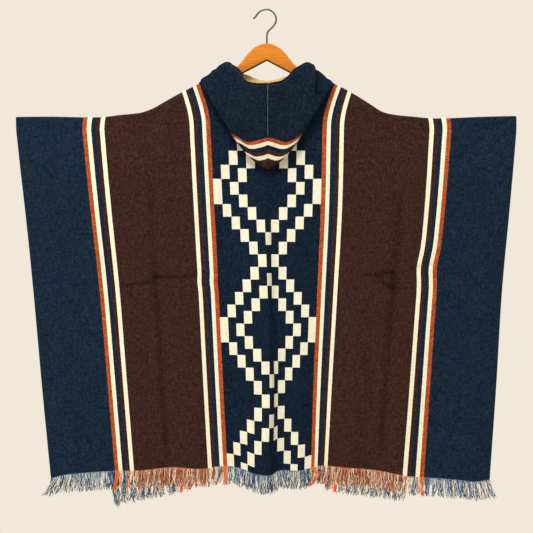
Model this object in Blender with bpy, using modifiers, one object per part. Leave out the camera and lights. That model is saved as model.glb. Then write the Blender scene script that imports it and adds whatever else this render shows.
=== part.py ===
"""Andean poncho with a hood, hanging on a wooden hanger.

The poncho is one striped web of thick wool, folded over the shoulders: its back panel faces -Y
and its front panel hangs behind it, with a hood of two halves sewn round the neck slit and a
fringe along each hem. Sizes are in millimetres. The origin is the inner top of the hanger's hook,
where a rail carries it; +Z is up and the web's stripes run down.
"""
import math
from bisect import bisect_right
from collections import namedtuple

import bmesh
import bpy
from mathutils import Vector

MM = 0.001
CLOTH = 2.4               # wall of the wool web
GAP = 0.3                 # between two pieces that meet
HALF_WEB = 638.0          # half of the web's width
NECK_REACH = 172.0        # where the shoulder fold begins, along the hanger
NECK_NOTCH = 0.9          # the slit's rounded end
SHOULDER_GAP = 0.55       # between the panels along the fold, whose edges lean with its slope
FOLD_RADIUS = 7.6         # middle of the cloth, round the hanger's arm
CROWN_STEPS = (0.0, 1.2, 4.4, 8.0, 12.0, 18.0)   # rows down from the shoulder fold
PANEL_ROWS = 9            # rows from there to the hem
SETTLE = 150.0            # drop in which a panel reaches its own depth
BACK_DEPTH = 17.0
FRONT_DEPTH = 18.0

# Fringe
LOCKS = 84                # locks on each hem
STRIP = 5.0               # height of the woven strip that holds their roots
STRIP_GAP = 1.0           # under the hem, whose edge tilts a little with its waves
LOCK_LENGTH = 44.0

# Hanger
WOOD_THICK = 12.0
WOOD_ROUND = 5.4
WIRE = 3.8
HOOK_BORE_DEPTH = 18.0


# ---------------------------------------------------------------- curves
def smooth(t):
    """An even start and stop between 0 and 1."""
    t = min(1.0, max(0.0, t))
    return t * t * (3.0 - 2.0 * t)


def through(knots, place):
    """The value at a place on the smooth curve through knots of (place, value)."""
    places = [knot[0] for knot in knots]
    values = [knot[1] for knot in knots]
    last = len(knots) - 1
    slopes = []
    for i in range(len(knots)):
        low, high = max(0, i - 1), min(last, i + 1)
        slopes.append((values[high] - values[low]) / (places[high] - places[low]))
    i = min(last - 1, max(0, bisect_right(places, place) - 1))
    span = places[i + 1] - places[i]
    t = min(1.0, max(0.0, (place - places[i]) / span))
    start = values[i] * (1 + 2 * t) * (1 - t) ** 2 + values[i + 1] * t * t * (3 - 2 * t)
    return start + span * (slopes[i] * t * (1 - t) ** 2 - slopes[i + 1] * t * t * (1 - t))


def bezier(a, b, c, d, t):
    u = 1.0 - t
    return a * u ** 3 + b * (3 * u * u * t) + c * (3 * u * t * t) + d * t ** 3


# ---------------------------------------------------------------- objects
def clear_scene():
    for item in list(bpy.data.objects):
        bpy.data.objects.remove(item, do_unlink=True)


def material(name, colour, roughness, metallic=0.0):
    finish = bpy.data.materials.new(name)
    finish.use_nodes = True
    shader = finish.node_tree.nodes["Principled BSDF"]
    shader.inputs["Base Color"].default_value = (*colour, 1.0)
    shader.inputs["Roughness"].default_value = roughness
    shader.inputs["Metallic"].default_value = metallic
    return finish


def add_object(name, data, finish, collection):
    item = bpy.data.objects.new(name, data)
    data.materials.append(finish)
    collection.objects.link(item)
    return item


def shade(mesh):
    mesh.shade_smooth()
    mesh.set_sharp_from_angle(angle=math.radians(40.0))


def sheet_object(name, grid, thickness, finish, collection, flip=False):
    """A wall of even thickness about the surface through a grid of points, in columns."""
    columns, rows = len(grid), len(grid[0])
    points = [Vector(point) * MM for column in grid for point in column]
    faces = []
    for c in range(columns - 1):
        for r in range(rows - 1):
            corner = c * rows + r
            face = (corner, corner + 1, corner + rows + 1, corner + rows)
            faces.append(face[::-1] if flip else face)
    mesh = bpy.data.meshes.new(name)
    mesh.from_pydata(points, [], faces)
    shade(mesh)
    item = add_object(name, mesh, finish, collection)
    wall = item.modifiers.new("Wall", "SOLIDIFY")
    wall.thickness = thickness * MM
    wall.offset = 0.0
    return item


# ---------------------------------------------------------------- the shoulder line and the neck
# Height of the middle of the cloth along the shoulder fold, by distance from the middle.
Shoulder = namedtuple("Shoulder", "out left right")
SHOULDER = (
    Shoulder(100, -151.0, -151.0),
    Shoulder(150, -175.4, -175.4),
    Shoulder(172, -186.4, -186.8),
    Shoulder(201, -200.4, -201.2),
    Shoulder(232, -216.6, -219.2),
    Shoulder(262, -233.6, -238.0),
    Shoulder(293, -250.8, -257.6),
    Shoulder(323, -261.0, -265.6),
    Shoulder(370, -266.2, -270.6),
    Shoulder(430, -272.6, -275.6),
    Shoulder(554, -271.0, -271.2),
    Shoulder(641, -271.6, -269.0),
)
# Edge of the neck slit: depth to each side of the hanger and height, by distance from the middle.
Neck = namedtuple("Neck", "out back_depth back_height front_depth front_height")
NECK = (
    Neck(0, 18.0, -205.0, 20.0, -178.0),
    Neck(30, 18.0, -204.2, 20.0, -172.5),
    Neck(60, 18.0, -202.4, 20.0, -164.5),
    Neck(100, 17.0, -198.0, 18.0, -171.5),
    Neck(140, 12.5, -191.0, 13.5, -181.0),
    Neck(168, 8.6, -184.4, 8.6, -184.4),
)
# Where each line between the web's stripes crosses the shoulder fold, by its place on the web.
CROSSING = (
    (-638, -641),
    (-466, -468),
    (-412, -412),
    (-197, -217),
    (-143, -172),
    (-139, -168),
    (0, 0),
    (139, 168),
    (143, 172),
    (197, 216),
    (412, 412),
    (466, 468),
    (638, 637),
)


def shoulder_height(x):
    side = "left" if x < 0 else "right"
    return through([(row.out, getattr(row, side)) for row in SHOULDER], abs(x))


def neck_edge(x, side):
    """Depth and height of the slit's edge."""
    depth = through([(row.out, getattr(row, side + "_depth")) for row in NECK], abs(x))
    height = through([(row.out, getattr(row, side + "_height")) for row in NECK], abs(x))
    return depth, height


def top_of_column(x, side, distance):
    """Depth and height at a distance down a column of the web, from the fold or the slit."""
    if abs(x) < NECK_REACH:
        depth, height = neck_edge(x, side)
        return depth, height - distance
    height = shoulder_height(x)
    angle = distance / FOLD_RADIUS
    if angle < math.pi / 2:
        notch = NECK_NOTCH * (1.0 - smooth((abs(x) - NECK_REACH) / 20.0))
        depth = max(SHOULDER_GAP / 2 + notch, FOLD_RADIUS * math.sin(angle))
        return depth, height - FOLD_RADIUS * (1.0 - math.cos(angle))
    run = distance - math.pi / 2 * FOLD_RADIUS
    return FOLD_RADIUS, height - FOLD_RADIUS - run


# ---------------------------------------------------------------- back panel
# Each line between stripes on the back: its place on the web, and how far out it lies below the
# shoulder, half way down and at the hem.
Line = namedtuple("Line", "web under middle hem")
BACK_LINES = (
    Line(-638, -639, -593, -545),
    Line(-466, -467, -427, -389),
    Line(-412, -412, -377, -340),
    Line(-197, -197, -175, -153),
    Line(-143, -144, -123, -103),
    Line(-139, -140, -119, -99.5),
    Line(-11, -11, 6, 3),
    Line(33, 33, 26, 25),
    Line(139, 138, 125.5, 109.5),
    Line(143, 142, 129, 113),
    Line(197, 197, 181, 154),
    Line(412, 413, 381, 345),
    Line(466, 468, 433, 402),
    Line(638, 636, 597, 567),
)
UNDER_HEIGHT = -305.0
MIDDLE_HEIGHT = -713.0
# The back hem's height by place on the web. It dips where the centre fold hangs.
BACK_HEM = (
    (-638, -1192), (-590, -1180), (-466, -1173), (-388, -1170), (-285, -1163),
    (-215, -1167), (-148, -1160), (-85, -1170), (-14, -1186), (33, -1174),
    (113, -1171), (160, -1161), (203, -1160), (343, -1172), (440, -1187),
    (560, -1195), (598, -1199), (638, -1195),
)
# The back's soft vertical waves: middle and reach to each side on the web, and how far they stand
# out half way down and at the hem. The steep-sided one is the centre fold.
Wave = namedtuple("Wave", "web left right middle hem")
BACK_WAVES = (
    Wave(-575, 80, 90, 4, 15),
    Wave(-400, 70, 70, 4, 13),
    Wave(-252, 70, 70, 5, 16),
    Wave(-14, 105, 42, 17, 30),
    Wave(95, 48, 50, 5, 13),
    Wave(250, 65, 70, 5, 15),
    Wave(395, 70, 70, 5, 14),
    Wave(575, 90, 75, 4, 13),
)
# Columns of the web between one line of the back and the next.
BACK_COLUMNS = (5, 2, 6, 2, 1, 5, 3, 5, 1, 2, 6, 2, 5)


def line_x(line, crossing, height):
    """How far out a line of the back lies at a height, on a smooth path down from the fold."""
    if height >= UNDER_HEIGHT:
        start = shoulder_height(crossing)
        drop = (start - height) / max(1.0, start - UNDER_HEIGHT)
        return crossing + (line.under - crossing) * math.sin(drop * math.pi / 2)
    knots = [(1200.0, line.hem), (-MIDDLE_HEIGHT, line.middle), (-UNDER_HEIGHT, line.under)]
    return through([(-place, value) for place, value in knots], height)


def wave_depth(place, height):
    """How far the waves lift the back panel out at a place on the web."""
    total = 0.0
    for wave in BACK_WAVES:
        reach = wave.left if place < wave.web else wave.right
        offset = abs(place - wave.web) / reach
        if offset >= 1.0:
            continue
        growth = through([(-1200.0, wave.hem), (MIDDLE_HEIGHT, wave.middle), (UNDER_HEIGHT, 0.0)],
                         min(UNDER_HEIGHT, height))
        total += growth * math.cos(offset * math.pi / 2) ** 2
    return total


def back_point(place, x_of, row):
    """A point of the back panel in a row, counted from the shoulder fold or the slit."""
    crossing = through(CROSSING, place)
    crown_rows = len(CROWN_STEPS)
    if row < crown_rows:
        depth, height = top_of_column(crossing, "back", CROWN_STEPS[row])
    else:
        depth, start = top_of_column(crossing, "back", CROWN_STEPS[-1])
        down = (row - crown_rows + 1) / PANEL_ROWS
        height = start + (through(BACK_HEM, place) - start) * down
        settled = smooth((start - height) / SETTLE)
        depth += (BACK_DEPTH - depth) * settled + wave_depth(place, height)
    return Vector((x_of(height), -depth, height))


def back_grid():
    grid = []
    for i, count in enumerate(BACK_COLUMNS):
        left, right = BACK_LINES[i], BACK_LINES[i + 1]
        for step in range(count + (i == len(BACK_COLUMNS) - 1)):
            share = step / count
            place = left.web + (right.web - left.web) * share
            crossing = through(CROSSING, place)

            def x_of(height, left=left, right=right, share=share, crossing=crossing):
                under = left.under + (right.under - left.under) * share
                middle = left.middle + (right.middle - left.middle) * share
                hem = left.hem + (right.hem - left.hem) * share
                return line_x(Line(0, under, middle, hem), crossing, height)

            rows = len(CROWN_STEPS) + PANEL_ROWS
            grid.append([back_point(place, x_of, row) for row in range(rows)])
    return grid


# ---------------------------------------------------------------- front panel
# The front hangs in folds between its rust stripes: the cloth in each fold and how full it is.
Fold = namedtuple("Fold", "cloth fullness")
FRONT_FOLDS = (
    Fold(176, 0.97),
    Fold(204, 1.04),
    Fold(180, 0.95),
    Fold(196, 1.06),
    Fold(176, 0.98),
)
FOLD_COLUMNS = 10         # columns of the web in each fold
FIELD_COLUMNS = 4         # and in each outer field
FINE_STEPS = 6            # steps of the fold's path in each column
FRONT_RUST = 466.0        # place of the outer rust stripes on the web
FRONT_LEFT_HEM = (-398.0, -225.0)     # side edge and rust stripe at the hem
FRONT_RIGHT_HEM = (351.0, 180.0)
NARROWING = 1.25          # the edges run in slowly at first
FRONT_HEM = (
    (-638, -1218), (-560, -1203), (-466, -1182), (-230, -1140), (0, -1116),
    (230, -1138), (466, -1182), (560, -1197), (638, -1204),
)


def fold_path(turn):
    """Points along the folds' cross-section, which swings each way by the given angle."""
    x = depth = 0.0
    path = [(x, depth)]
    for fold in FRONT_FOLDS:
        steps = FOLD_COLUMNS * FINE_STEPS
        length = fold.cloth / steps
        for step in range(steps):
            phase = (step + 0.5) / steps * 2 * math.pi
            angle = turn * fold.fullness * math.sin(phase)
            x += length * math.cos(angle)
            depth += length * math.sin(angle)
            if (step + 1) % FINE_STEPS == 0:
                path.append((x, depth))
    return path


def folds_of_width(width):
    """The folds' cross-section that is as wide as the cloth hangs at one height."""
    low, high = 0.0, 2.0
    for _ in range(24):
        turn = (low + high) / 2
        if fold_path(turn)[-1][0] > width:
            low = turn
        else:
            high = turn
    path = fold_path((low + high) / 2)
    scale = width / path[-1][0]
    return [(x * scale, depth) for x, depth in path]


def front_places():
    """Places on the web of the front's columns, from its left edge to its right."""
    field = (HALF_WEB - FRONT_RUST) / FIELD_COLUMNS
    places = [-HALF_WEB + field * i for i in range(FIELD_COLUMNS)]
    place = -FRONT_RUST
    for fold in FRONT_FOLDS:
        places += [place + fold.cloth * i / FOLD_COLUMNS for i in range(FOLD_COLUMNS)]
        place += fold.cloth
    return places + [FRONT_RUST + field * i for i in range(FIELD_COLUMNS + 1)]


def front_row(down):
    """How far out each column lies and how deep its fold is, a share of the way down."""
    run = down ** NARROWING
    edges = []
    for side, (edge, rust) in ((-1, FRONT_LEFT_HEM), (1, FRONT_RIGHT_HEM)):
        top_edge, top_rust = side * 639.0, side * 468.0
        edges.append((top_edge + (edge - top_edge) * run, top_rust + (rust - top_rust) * run))
    (left_edge, left_rust), (right_edge, right_rust) = edges
    folds = folds_of_width(right_rust - left_rust)
    row = []
    for i in range(FIELD_COLUMNS):
        share = i / FIELD_COLUMNS
        lift = 16.0 * run * math.sin(share * math.pi)
        row.append((left_edge + (left_rust - left_edge) * share, lift))
    row += [(left_rust + x, depth) for x, depth in folds]
    for i in range(1, FIELD_COLUMNS + 1):
        share = i / FIELD_COLUMNS
        lift = 14.0 * run * math.sin(share * math.pi)
        row.append((right_rust + (right_edge - right_rust) * share, lift))
    return row


def front_crossings(places):
    """Where the columns leave the shoulder, with one at each side of the slit's two ends."""
    crossings = [through(CROSSING, place) for place in places]
    inside = [i for i, x in enumerate(crossings) if abs(x) < NECK_REACH]
    for end, side in ((inside[0], -1), (inside[-1], 1)):
        crossings[end] = side * NECK[-1].out
        crossings[end + side] = side * NECK_REACH
    return crossings


def front_grid():
    places = front_places()
    columns = []
    for crossing in front_crossings(places):
        column = []
        for distance in CROWN_STEPS:
            depth, height = top_of_column(crossing, "front", distance)
            column.append(Vector((crossing, depth, height)))
        columns.append(column)
    for step in range(1, PANEL_ROWS + 1):
        down = step / PANEL_ROWS
        for place, column, (x, fold) in zip(places, columns, front_row(down)):
            top = column[len(CROWN_STEPS) - 1]
            height = top.z + (through(FRONT_HEM, place) - top.z) * down
            settled = smooth((top.z - height) / SETTLE)
            near = top.x + (x - top.x) * settled
            depth = top.y + (FRONT_DEPTH - top.y) * settled + fold * settled
            column.append(Vector((near, depth, height)))
    return columns


# ---------------------------------------------------------------- hood
# The hood hangs from the slit like a bag. Each section runs from the seam down to the fold and up
# to the rim. `turn` is the way it heads at the fold: 0 straight out from the seam, 90 upward.
# Lengths `in_pull` and `out_pull` round the section before and after the fold, `rim_pull` is the
# straight stretch below the rim and `roll` lifts it where the hood rolls over the shoulder.
Section = namedtuple(
    "Section", "seam fold turn right_rim left_rim rim_depth in_pull out_pull rim_pull roll")
HOOD = (
    Section((0, -20.9, -206), (0, -38, -405.5), 0, (0, -189.5), (0, -189.5), -60, 9, 12, 70, 0),
    Section((24, -20.9, -205.6), (26, -39.5, -391), 0, (14, -186.2), (17, -190.4),
            -60, 9, 12, 68, 0),
    Section((50, -20.8, -204.4), (49, -42, -370.5), 0, (30, -183), (36, -188.8),
            -59, 9, 12, 62, 0),
    Section((76, -20.4, -203), (73.5, -44, -340.5), 0, (43, -177), (53, -183.7),
            -57, 9, 12, 56, 0),
    Section((100, -19.9, -200), (99.5, -43, -300), 0, (57, -164), (61, -172.5),
            -53, 9, 12, 46, 0),
    Section((124, -17.4, -196), (129.5, -38, -251.5), 5, (71, -151.7), (66, -158.5),
            -46, 8, 11, 36, 0),
    Section((142, -15.6, -192), (150, -30, -217), 15, (86, -142), (79, -145.5),
            -36, 7, 10, 30, 2),
    Section((159, -13.8, -188), (164.5, -19, -195), 75, (101, -136), (98, -135.5),
            -22, 4, 8, 18, 6),
    Section((171, -11.8, -185.4), (168, -9, -181), 140, (106, -135), (104, -135), -9, 3, 7, 18, 8),
    Section((174, 2, -184), (167, 4, -179), 150, (107, -138), (105, -138), 2, 3, 7, 16, 7),
    Section((166, 14.0, -184.2), (157, 15, -172), 150, (101, -142), (100, -142), 12, 4, 7, 12, 3),
    Section((140, 17.2, -185), (131, 19, -166), 130, (90, -146), (89, -146), 18, 4, 6, 8, 0),
    Section((110, 20.6, -181), (101, 22, -164), 120, (78, -150), (77, -150), 22, 4, 4, 6, 0),
    Section((84, 22.6, -173), (78, 23, -161), 120, (68, -154), (68, -154), 23, 3, 3, 4, 0),
    Section((61, 23.0, -169), (61, 23, -163), 90, (60, -157), (60, -157), 23, 2, 2, 2, 0),
)
RIGHT_ROLL = 0.35         # the right side rolls over the shoulder more flatly
HOOD_COLUMNS = 2          # columns from one section to the next
INNER_STEPS = 6           # rows from the seam to the fold
OUTER_STEPS = 8           # and from the fold to the rim
SEAM_EDGE = 1.2           # flat stretch beside the centre seam


def hood_section(section, side):
    """Points of one section on the right (1) or the left (-1)."""
    seam = Vector(section.seam)
    fold = Vector(section.fold)
    rim_x, rim_z = section.right_rim if side > 0 else section.left_rim
    rim = Vector((rim_x, section.rim_depth, rim_z))
    out = Vector((fold.x - seam.x, fold.y - seam.y, 0.0)).normalized()
    angle = math.radians(section.turn)
    heading = out * math.cos(angle) + Vector((0.0, 0.0, math.sin(angle)))
    leave = (fold - seam) * 0.35
    leave.y = min(0.0, leave.y * 0.2) if seam.y < 0 else leave.y
    below = rim + (fold - rim).normalized() * section.rim_pull
    roll = section.roll * (RIGHT_ROLL if side > 0 else 1.0)
    below += Vector((0.5, 0.0, 0.87)) * roll
    below.y = rim.y - 2.0 if seam.y < -12 else below.y
    points = []
    for i in range(INNER_STEPS):
        t = i / INNER_STEPS
        points.append(bezier(seam, seam + leave, fold - heading * section.in_pull, fold, t))
    for i in range(OUTER_STEPS + 1):
        t = i / OUTER_STEPS
        points.append(bezier(fold, fold + heading * section.out_pull, below, rim, t))
    return points


def between_sections(sections, spot):
    """A smooth blend of the sections at a spot counted in sections."""
    places = range(len(sections))
    rows = []
    for row in range(len(sections[0])):
        rows.append(Vector(
            through([(place, sections[place][row][axis]) for place in places], spot)
            for axis in range(3)))
    return rows


def hood_grid(side):
    sections = [hood_section(section, side) for section in HOOD]
    start = [Vector((GAP / 2, point.y, point.z)) for point in sections[0]]
    flat = [Vector((GAP / 2 + SEAM_EDGE, point.y, point.z)) for point in sections[0]]
    grid = [start, flat]
    steps = (len(HOOD) - 1) * HOOD_COLUMNS
    for step in range(1, steps + 1):
        grid.append(between_sections(sections, step / HOOD_COLUMNS))
    return [[Vector((side * point.x, point.y, point.z)) for point in column] for column in grid]


# ---------------------------------------------------------------- neck facing
FACING = 1.2              # wall of the facing tape
FACING_REACH = 56.0
FACING_HEIGHT = 26.0
FACING_COLUMNS = 12
FACING_LEAN = 0.2         # the panel's edge leans with its slope


def facing_grid():
    """The tape lies on the inner face of the front's neck edge, made from the edge moved in."""
    inset = CLOTH / 2 + GAP + FACING / 2 + FACING_LEAN
    grid = []
    for i in range(FACING_COLUMNS + 1):
        x = FACING_REACH * (2.0 * i / FACING_COLUMNS - 1.0)
        depth, height = neck_edge(x, "front")
        column = []
        for drop in (1.0, FACING_HEIGHT / 2, FACING_HEIGHT):
            column.append(Vector((x, depth - inset, height - drop)))
        grid.append(column)
    return grid


# ---------------------------------------------------------------- fringe
def along(points, count):
    """Evenly spaced points along a chain, ends included."""
    lengths = [0.0]
    for a, b in zip(points, points[1:]):
        lengths.append(lengths[-1] + (b - a).length)
    spaced = []
    for i in range(count + 1):
        target = lengths[-1] * i / count
        k = min(len(points) - 2, max(0, bisect_right(lengths, target) - 1))
        share = (target - lengths[k]) / (lengths[k + 1] - lengths[k])
        spaced.append(points[k].lerp(points[k + 1], share))
    return spaced


def fringe_object(name, hem, outward, finish, collection):
    """A narrow strip under a hem, with a tapered lock from every second stretch of it."""
    line = along(hem, LOCKS * 2 - 1)
    mesh = bpy.data.meshes.new(name)
    bm = bmesh.new()
    rings = []
    for i, point in enumerate(line):
        before, after = line[max(0, i - 1)], line[min(len(line) - 1, i + 1)]
        tangent = Vector((after.x - before.x, after.y - before.y, 0.0)).normalized()
        normal = Vector((tangent.y, -tangent.x, 0.0)) * (CLOTH / 2)
        top = Vector((point.x, point.y, point.z - STRIP_GAP))
        low = top - Vector((0.0, 0.0, STRIP))
        corners = (top + normal, top - normal, low - normal, low + normal)
        rings.append([bm.verts.new(corner * MM) for corner in corners])
    bottoms = []
    for a, b in zip(rings, rings[1:]):
        for k in range(4):
            n = (k + 1) % 4
            face = bm.faces.new((a[k], a[n], b[n], b[k]))
            if k == 2:
                bottoms.append(face)
    bm.faces.new(reversed(rings[0]))
    bm.faces.new(rings[-1])
    roots = bottoms[0::2]
    tips = bmesh.ops.extrude_discrete_faces(bm, faces=roots)["faces"]
    for i, tip in enumerate(tips):
        sway = Vector((3.0 * math.sin(2.4 * i) + outward(tip.calc_center_median().x / MM),
                       1.6 * math.sin(1.7 * i + 0.6), -LOCK_LENGTH + 3.5 * math.sin(3.1 * i)))
        centre = tip.calc_center_median()
        for vert in tip.verts:
            vert.co = centre + (vert.co - centre) * 0.55 + sway * MM
    bmesh.ops.recalc_face_normals(bm, faces=bm.faces)
    bm.to_mesh(mesh)
    bm.free()
    return add_object(name, mesh, finish, collection)


def corner_splay(x):
    """Locks by the web's left corner lean outward."""
    return -14.0 * smooth((-x - 470.0) / 80.0)


def no_splay(x):
    return 0.0


# ---------------------------------------------------------------- hanger
# Right half of the wooden bow: along its top from the middle to the arm's end, then back under it.
WOOD_OUTLINE = (
    (0, -82.6), (11, -83.8), (20.7, -87.5), (28.5, -91.3), (35.2, -95.9), (46.2, -106.8),
    (56.1, -119), (65.8, -131.3), (76.2, -141.8), (90, -149.3), (125, -166), (150, -178),
    (172, -189.8), (201, -204.4), (221, -216.2),
    (228.5, -221.5), (232, -228.5), (230, -236), (223, -239), (215, -236),
    (150, -203.3), (62.7, -158.9), (0, -125.7),
)
# Centre of the wire from its tip over the top and down into the wood.
HOOK_ROUTE = (
    (-33.3, -22.5), (-29.6, -18.6), (-26.2, -14.2), (-23.6, -9.8), (-20.2, -5.4), (-14.4, -1.2),
    (-7.4, 1.1), (0, 1.9), (7.6, 0.6), (14.6, -3.2), (20.2, -9), (23.6, -15.8), (24.6, -22.6),
    (23.4, -30), (19.6, -37.4), (13.8, -44.2), (7.6, -50), (3, -54.6), (0.7, -59.2), (0, -66),
    (0, -83),
)


def add_hanger(collection, wood_finish, steel_finish):
    right = [Vector((x, z, 0.0)) for x, z in WOOD_OUTLINE]
    left = [Vector((-point.x, point.y, 0.0)) for point in reversed(right[1:-1])]
    outline = bpy.data.curves.new("wood outline", "CURVE")
    outline.dimensions = "2D"
    outline.fill_mode = "BOTH"
    spline = outline.splines.new("POLY")
    spline.points.add(len(right) + len(left) - 1)
    for point, place in zip(spline.points, right + left):
        point.co = (*(place * MM), 1.0)
    spline.use_cyclic_u = True
    outline.extrude = (WOOD_THICK / 2 - WOOD_ROUND) * MM
    outline.bevel_depth = WOOD_ROUND * MM
    outline.bevel_resolution = 2
    outline.offset = -WOOD_ROUND * MM
    guide = bpy.data.objects.new("wood outline", outline)
    collection.objects.link(guide)
    guide.rotation_euler = (math.pi / 2, 0.0, 0.0)
    bpy.context.view_layer.update()

    depsgraph = bpy.context.evaluated_depsgraph_get()
    mesh = bpy.data.meshes.new_from_object(guide.evaluated_get(depsgraph))
    bm = bmesh.new()
    bm.from_mesh(mesh)
    bmesh.ops.remove_doubles(bm, verts=bm.verts, dist=0.02 * MM)
    bmesh.ops.recalc_face_normals(bm, faces=bm.faces)
    bm.to_mesh(mesh)
    bm.free()
    wood = add_object("hanger_wood", mesh, wood_finish, collection)
    wood.matrix_world = guide.matrix_world
    bpy.data.objects.remove(guide, do_unlink=True)
    shade(mesh)

    cutters = bpy.data.collections.new("cutters")
    bpy.context.scene.collection.children.link(cutters)
    bore_bottom = WOOD_OUTLINE[0][1] - HOOK_BORE_DEPTH
    bore_top = WOOD_OUTLINE[0][1] + 5.0
    bm = bmesh.new()
    bmesh.ops.create_cone(bm, cap_ends=True, segments=12, radius1=(WIRE / 2 + GAP) * MM,
                          radius2=(WIRE / 2 + GAP) * MM, depth=(bore_top - bore_bottom) * MM)
    bore_mesh = bpy.data.meshes.new("hook bore")
    bm.to_mesh(bore_mesh)
    bm.free()
    bore = bpy.data.objects.new("hook bore", bore_mesh)
    cutters.objects.link(bore)
    bore.location = (0.0, 0.0, (bore_top + bore_bottom) / 2 * MM)
    bore.hide_render = True
    bore.display_type = "WIRE"
    cut = wood.modifiers.new("Bore", "BOOLEAN")
    cut.operation = "DIFFERENCE"
    cut.object = bore

    wire = bpy.data.curves.new("hanger_hook", "CURVE")
    wire.dimensions = "3D"
    wire.bevel_depth = WIRE / 2 * MM
    wire.bevel_resolution = 2
    wire.use_fill_caps = True
    stem_end = (0.0, bore_bottom + GAP)
    route = HOOK_ROUTE + (stem_end,)
    spline = wire.splines.new("POLY")
    spline.points.add(len(route) - 1)
    for point, (x, z) in zip(spline.points, route):
        point.co = (x * MM, 0.0, z * MM, 1.0)
    add_object("hanger_hook", wire, steel_finish, collection)


# ---------------------------------------------------------------- assembly
clear_scene()
poncho = bpy.data.collections.new("andean poncho")
bpy.context.scene.collection.children.link(poncho)

back = back_grid()
front = front_grid()
sheet_object("back_panel", back, CLOTH, material("back wool", (0.05, 0.02, 0.016), 0.95),
             poncho, flip=True)
sheet_object("front_panel", front, CLOTH, material("front wool", (0.014, 0.026, 0.05), 0.95), poncho)
for label, hand in (("hood_right", 1), ("hood_left", -1)):
    sheet_object(label, hood_grid(hand), CLOTH, material(label + " wool", (0.013, 0.024, 0.045), 0.95),
                 poncho, flip=hand > 0)
sheet_object("neck_facing", facing_grid(), FACING, material("facing tape", (0.75, 0.45, 0.15), 0.8),
             poncho)
back_hem = [column[-1] for column in back]
front_hem = [column[-1] for column in front]
fringe_object("back_fringe", back_hem, corner_splay, material("back fringe", (0.2, 0.2, 0.25), 0.95),
              poncho)
fringe_object("front_fringe", front_hem, no_splay, material("front fringe", (0.2, 0.22, 0.3), 0.95),
              poncho)
add_hanger(poncho, material("hanger wood", (0.75, 0.25, 0.05), 0.35),
           material("hook steel", (0.35, 0.32, 0.29), 0.35, 1.0))
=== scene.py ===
import math
import random
from bisect import bisect_right
from collections import namedtuple
from functools import partialmethod

import bmesh
import bpy
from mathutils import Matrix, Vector, noise


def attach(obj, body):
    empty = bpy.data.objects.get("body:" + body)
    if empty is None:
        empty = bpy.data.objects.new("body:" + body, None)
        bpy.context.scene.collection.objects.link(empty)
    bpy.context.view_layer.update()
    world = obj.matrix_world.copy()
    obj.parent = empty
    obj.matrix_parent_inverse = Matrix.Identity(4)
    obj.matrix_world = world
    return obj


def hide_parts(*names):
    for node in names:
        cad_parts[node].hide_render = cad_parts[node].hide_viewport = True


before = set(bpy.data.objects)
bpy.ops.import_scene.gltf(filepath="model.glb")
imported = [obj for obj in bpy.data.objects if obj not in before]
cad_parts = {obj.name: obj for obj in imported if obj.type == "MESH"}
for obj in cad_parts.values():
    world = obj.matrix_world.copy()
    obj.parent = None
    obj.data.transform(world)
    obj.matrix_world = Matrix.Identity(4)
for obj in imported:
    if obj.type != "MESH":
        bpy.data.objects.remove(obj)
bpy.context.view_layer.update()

# ---------------------------------------------------------------- hanger bow
# The bow is one flat piece of beech, sawn to its curve, rounded along its edges and varnished. The
# poncho hangs from its arms, and its crown is bored for the hook. Sizes in this file are in
# millimetres, and become metres where a mesh is made.
MM = 0.001
BOW_THICK = 12.0
BOW_ROUND = 5.4
BOW_CROWN = -82.6         # top of the bow
BOW_APEX = -127.6         # top of the arch under it
ARCH_SLOPE = 0.53         # fall of the arch, along whose lower edge shade is painted
ARCH_SHADE_BAND = (3.4, 5.0)    # height over the arch at which that painted shade begins to fade, and ends
# Right half of the bow: along its top from the crown to the arm's end, then back under it.
BOW_OUTLINE = (
    (0, BOW_CROWN), (11, -83.8), (20.7, -87.5), (28.5, -91.3), (35.2, -95.9), (46.2, -106.8),
    (56.1, -119), (65.8, -131.3), (76.2, -141.8), (90, -149.3), (125, -166), (150, -178),
    (172, -189.8), (201, -204.4), (221, -216.2),
    (228.5, -221.5), (232, -228.5), (230, -236), (223, -239), (215, -236),
    (150, -204.4), (62.7, -160.6), (0, BOW_APEX),
)
SMOOTH_ANGLE = math.radians(42.0)
MEETING = 0.02            # points this near are one


def smooth_line(knots):
    """The smooth curve through knots of (place, value), as a function of place."""
    places, values = zip(*knots)
    last = len(places) - 1
    slopes = []
    for i in range(len(places)):
        low, high = max(0, i - 1), min(last, i + 1)
        slopes.append((values[high] - values[low]) / (places[high] - places[low]))

    def at(place):
        i = min(last - 1, max(0, bisect_right(places, place) - 1))
        span = places[i + 1] - places[i]
        t = min(1.0, max(0.0, (place - places[i]) / span))
        start = values[i] * (1 + 2 * t) * (1 - t) ** 2 + values[i + 1] * t * t * (3 - 2 * t)
        return start + span * (slopes[i] * t * (1 - t) ** 2 - slopes[i + 1] * t * t * (1 - t))

    return at


def round_off(points, parts):
    """A chain of points with the same corners and evenly curved stretches between them."""
    axes = [smooth_line(enumerate(values)) for values in zip(*points)]
    count = (len(points) - 1) * parts
    return [tuple(axis(i / parts) for axis in axes) for i in range(count + 1)]


def srgb(red, green, blue):
    """A finish's colour from its everyday values, 0 to 255."""
    steps = [value / 255.0 for value in (red, green, blue)]
    return tuple(v / 12.92 if v <= 0.04045 else ((v + 0.055) / 1.055) ** 2.4 for v in steps)


def add_node(tree, kind, inputs=(), **settings):
    """A node with its settings made and its inputs set or joined."""
    item = tree.nodes.new(kind)
    for name, value in settings.items():
        setattr(item, name, value)
    for key, value in dict(inputs).items():
        if isinstance(value, Wire):
            tree.links.new(value.socket, item.inputs[key])
        else:
            item.inputs[key].default_value = value
    return item


def wire(tree, kind, inputs=(), output=0, **settings):
    """One output of a new node."""
    return Wire(add_node(tree, kind, inputs, **settings).outputs[output])


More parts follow.
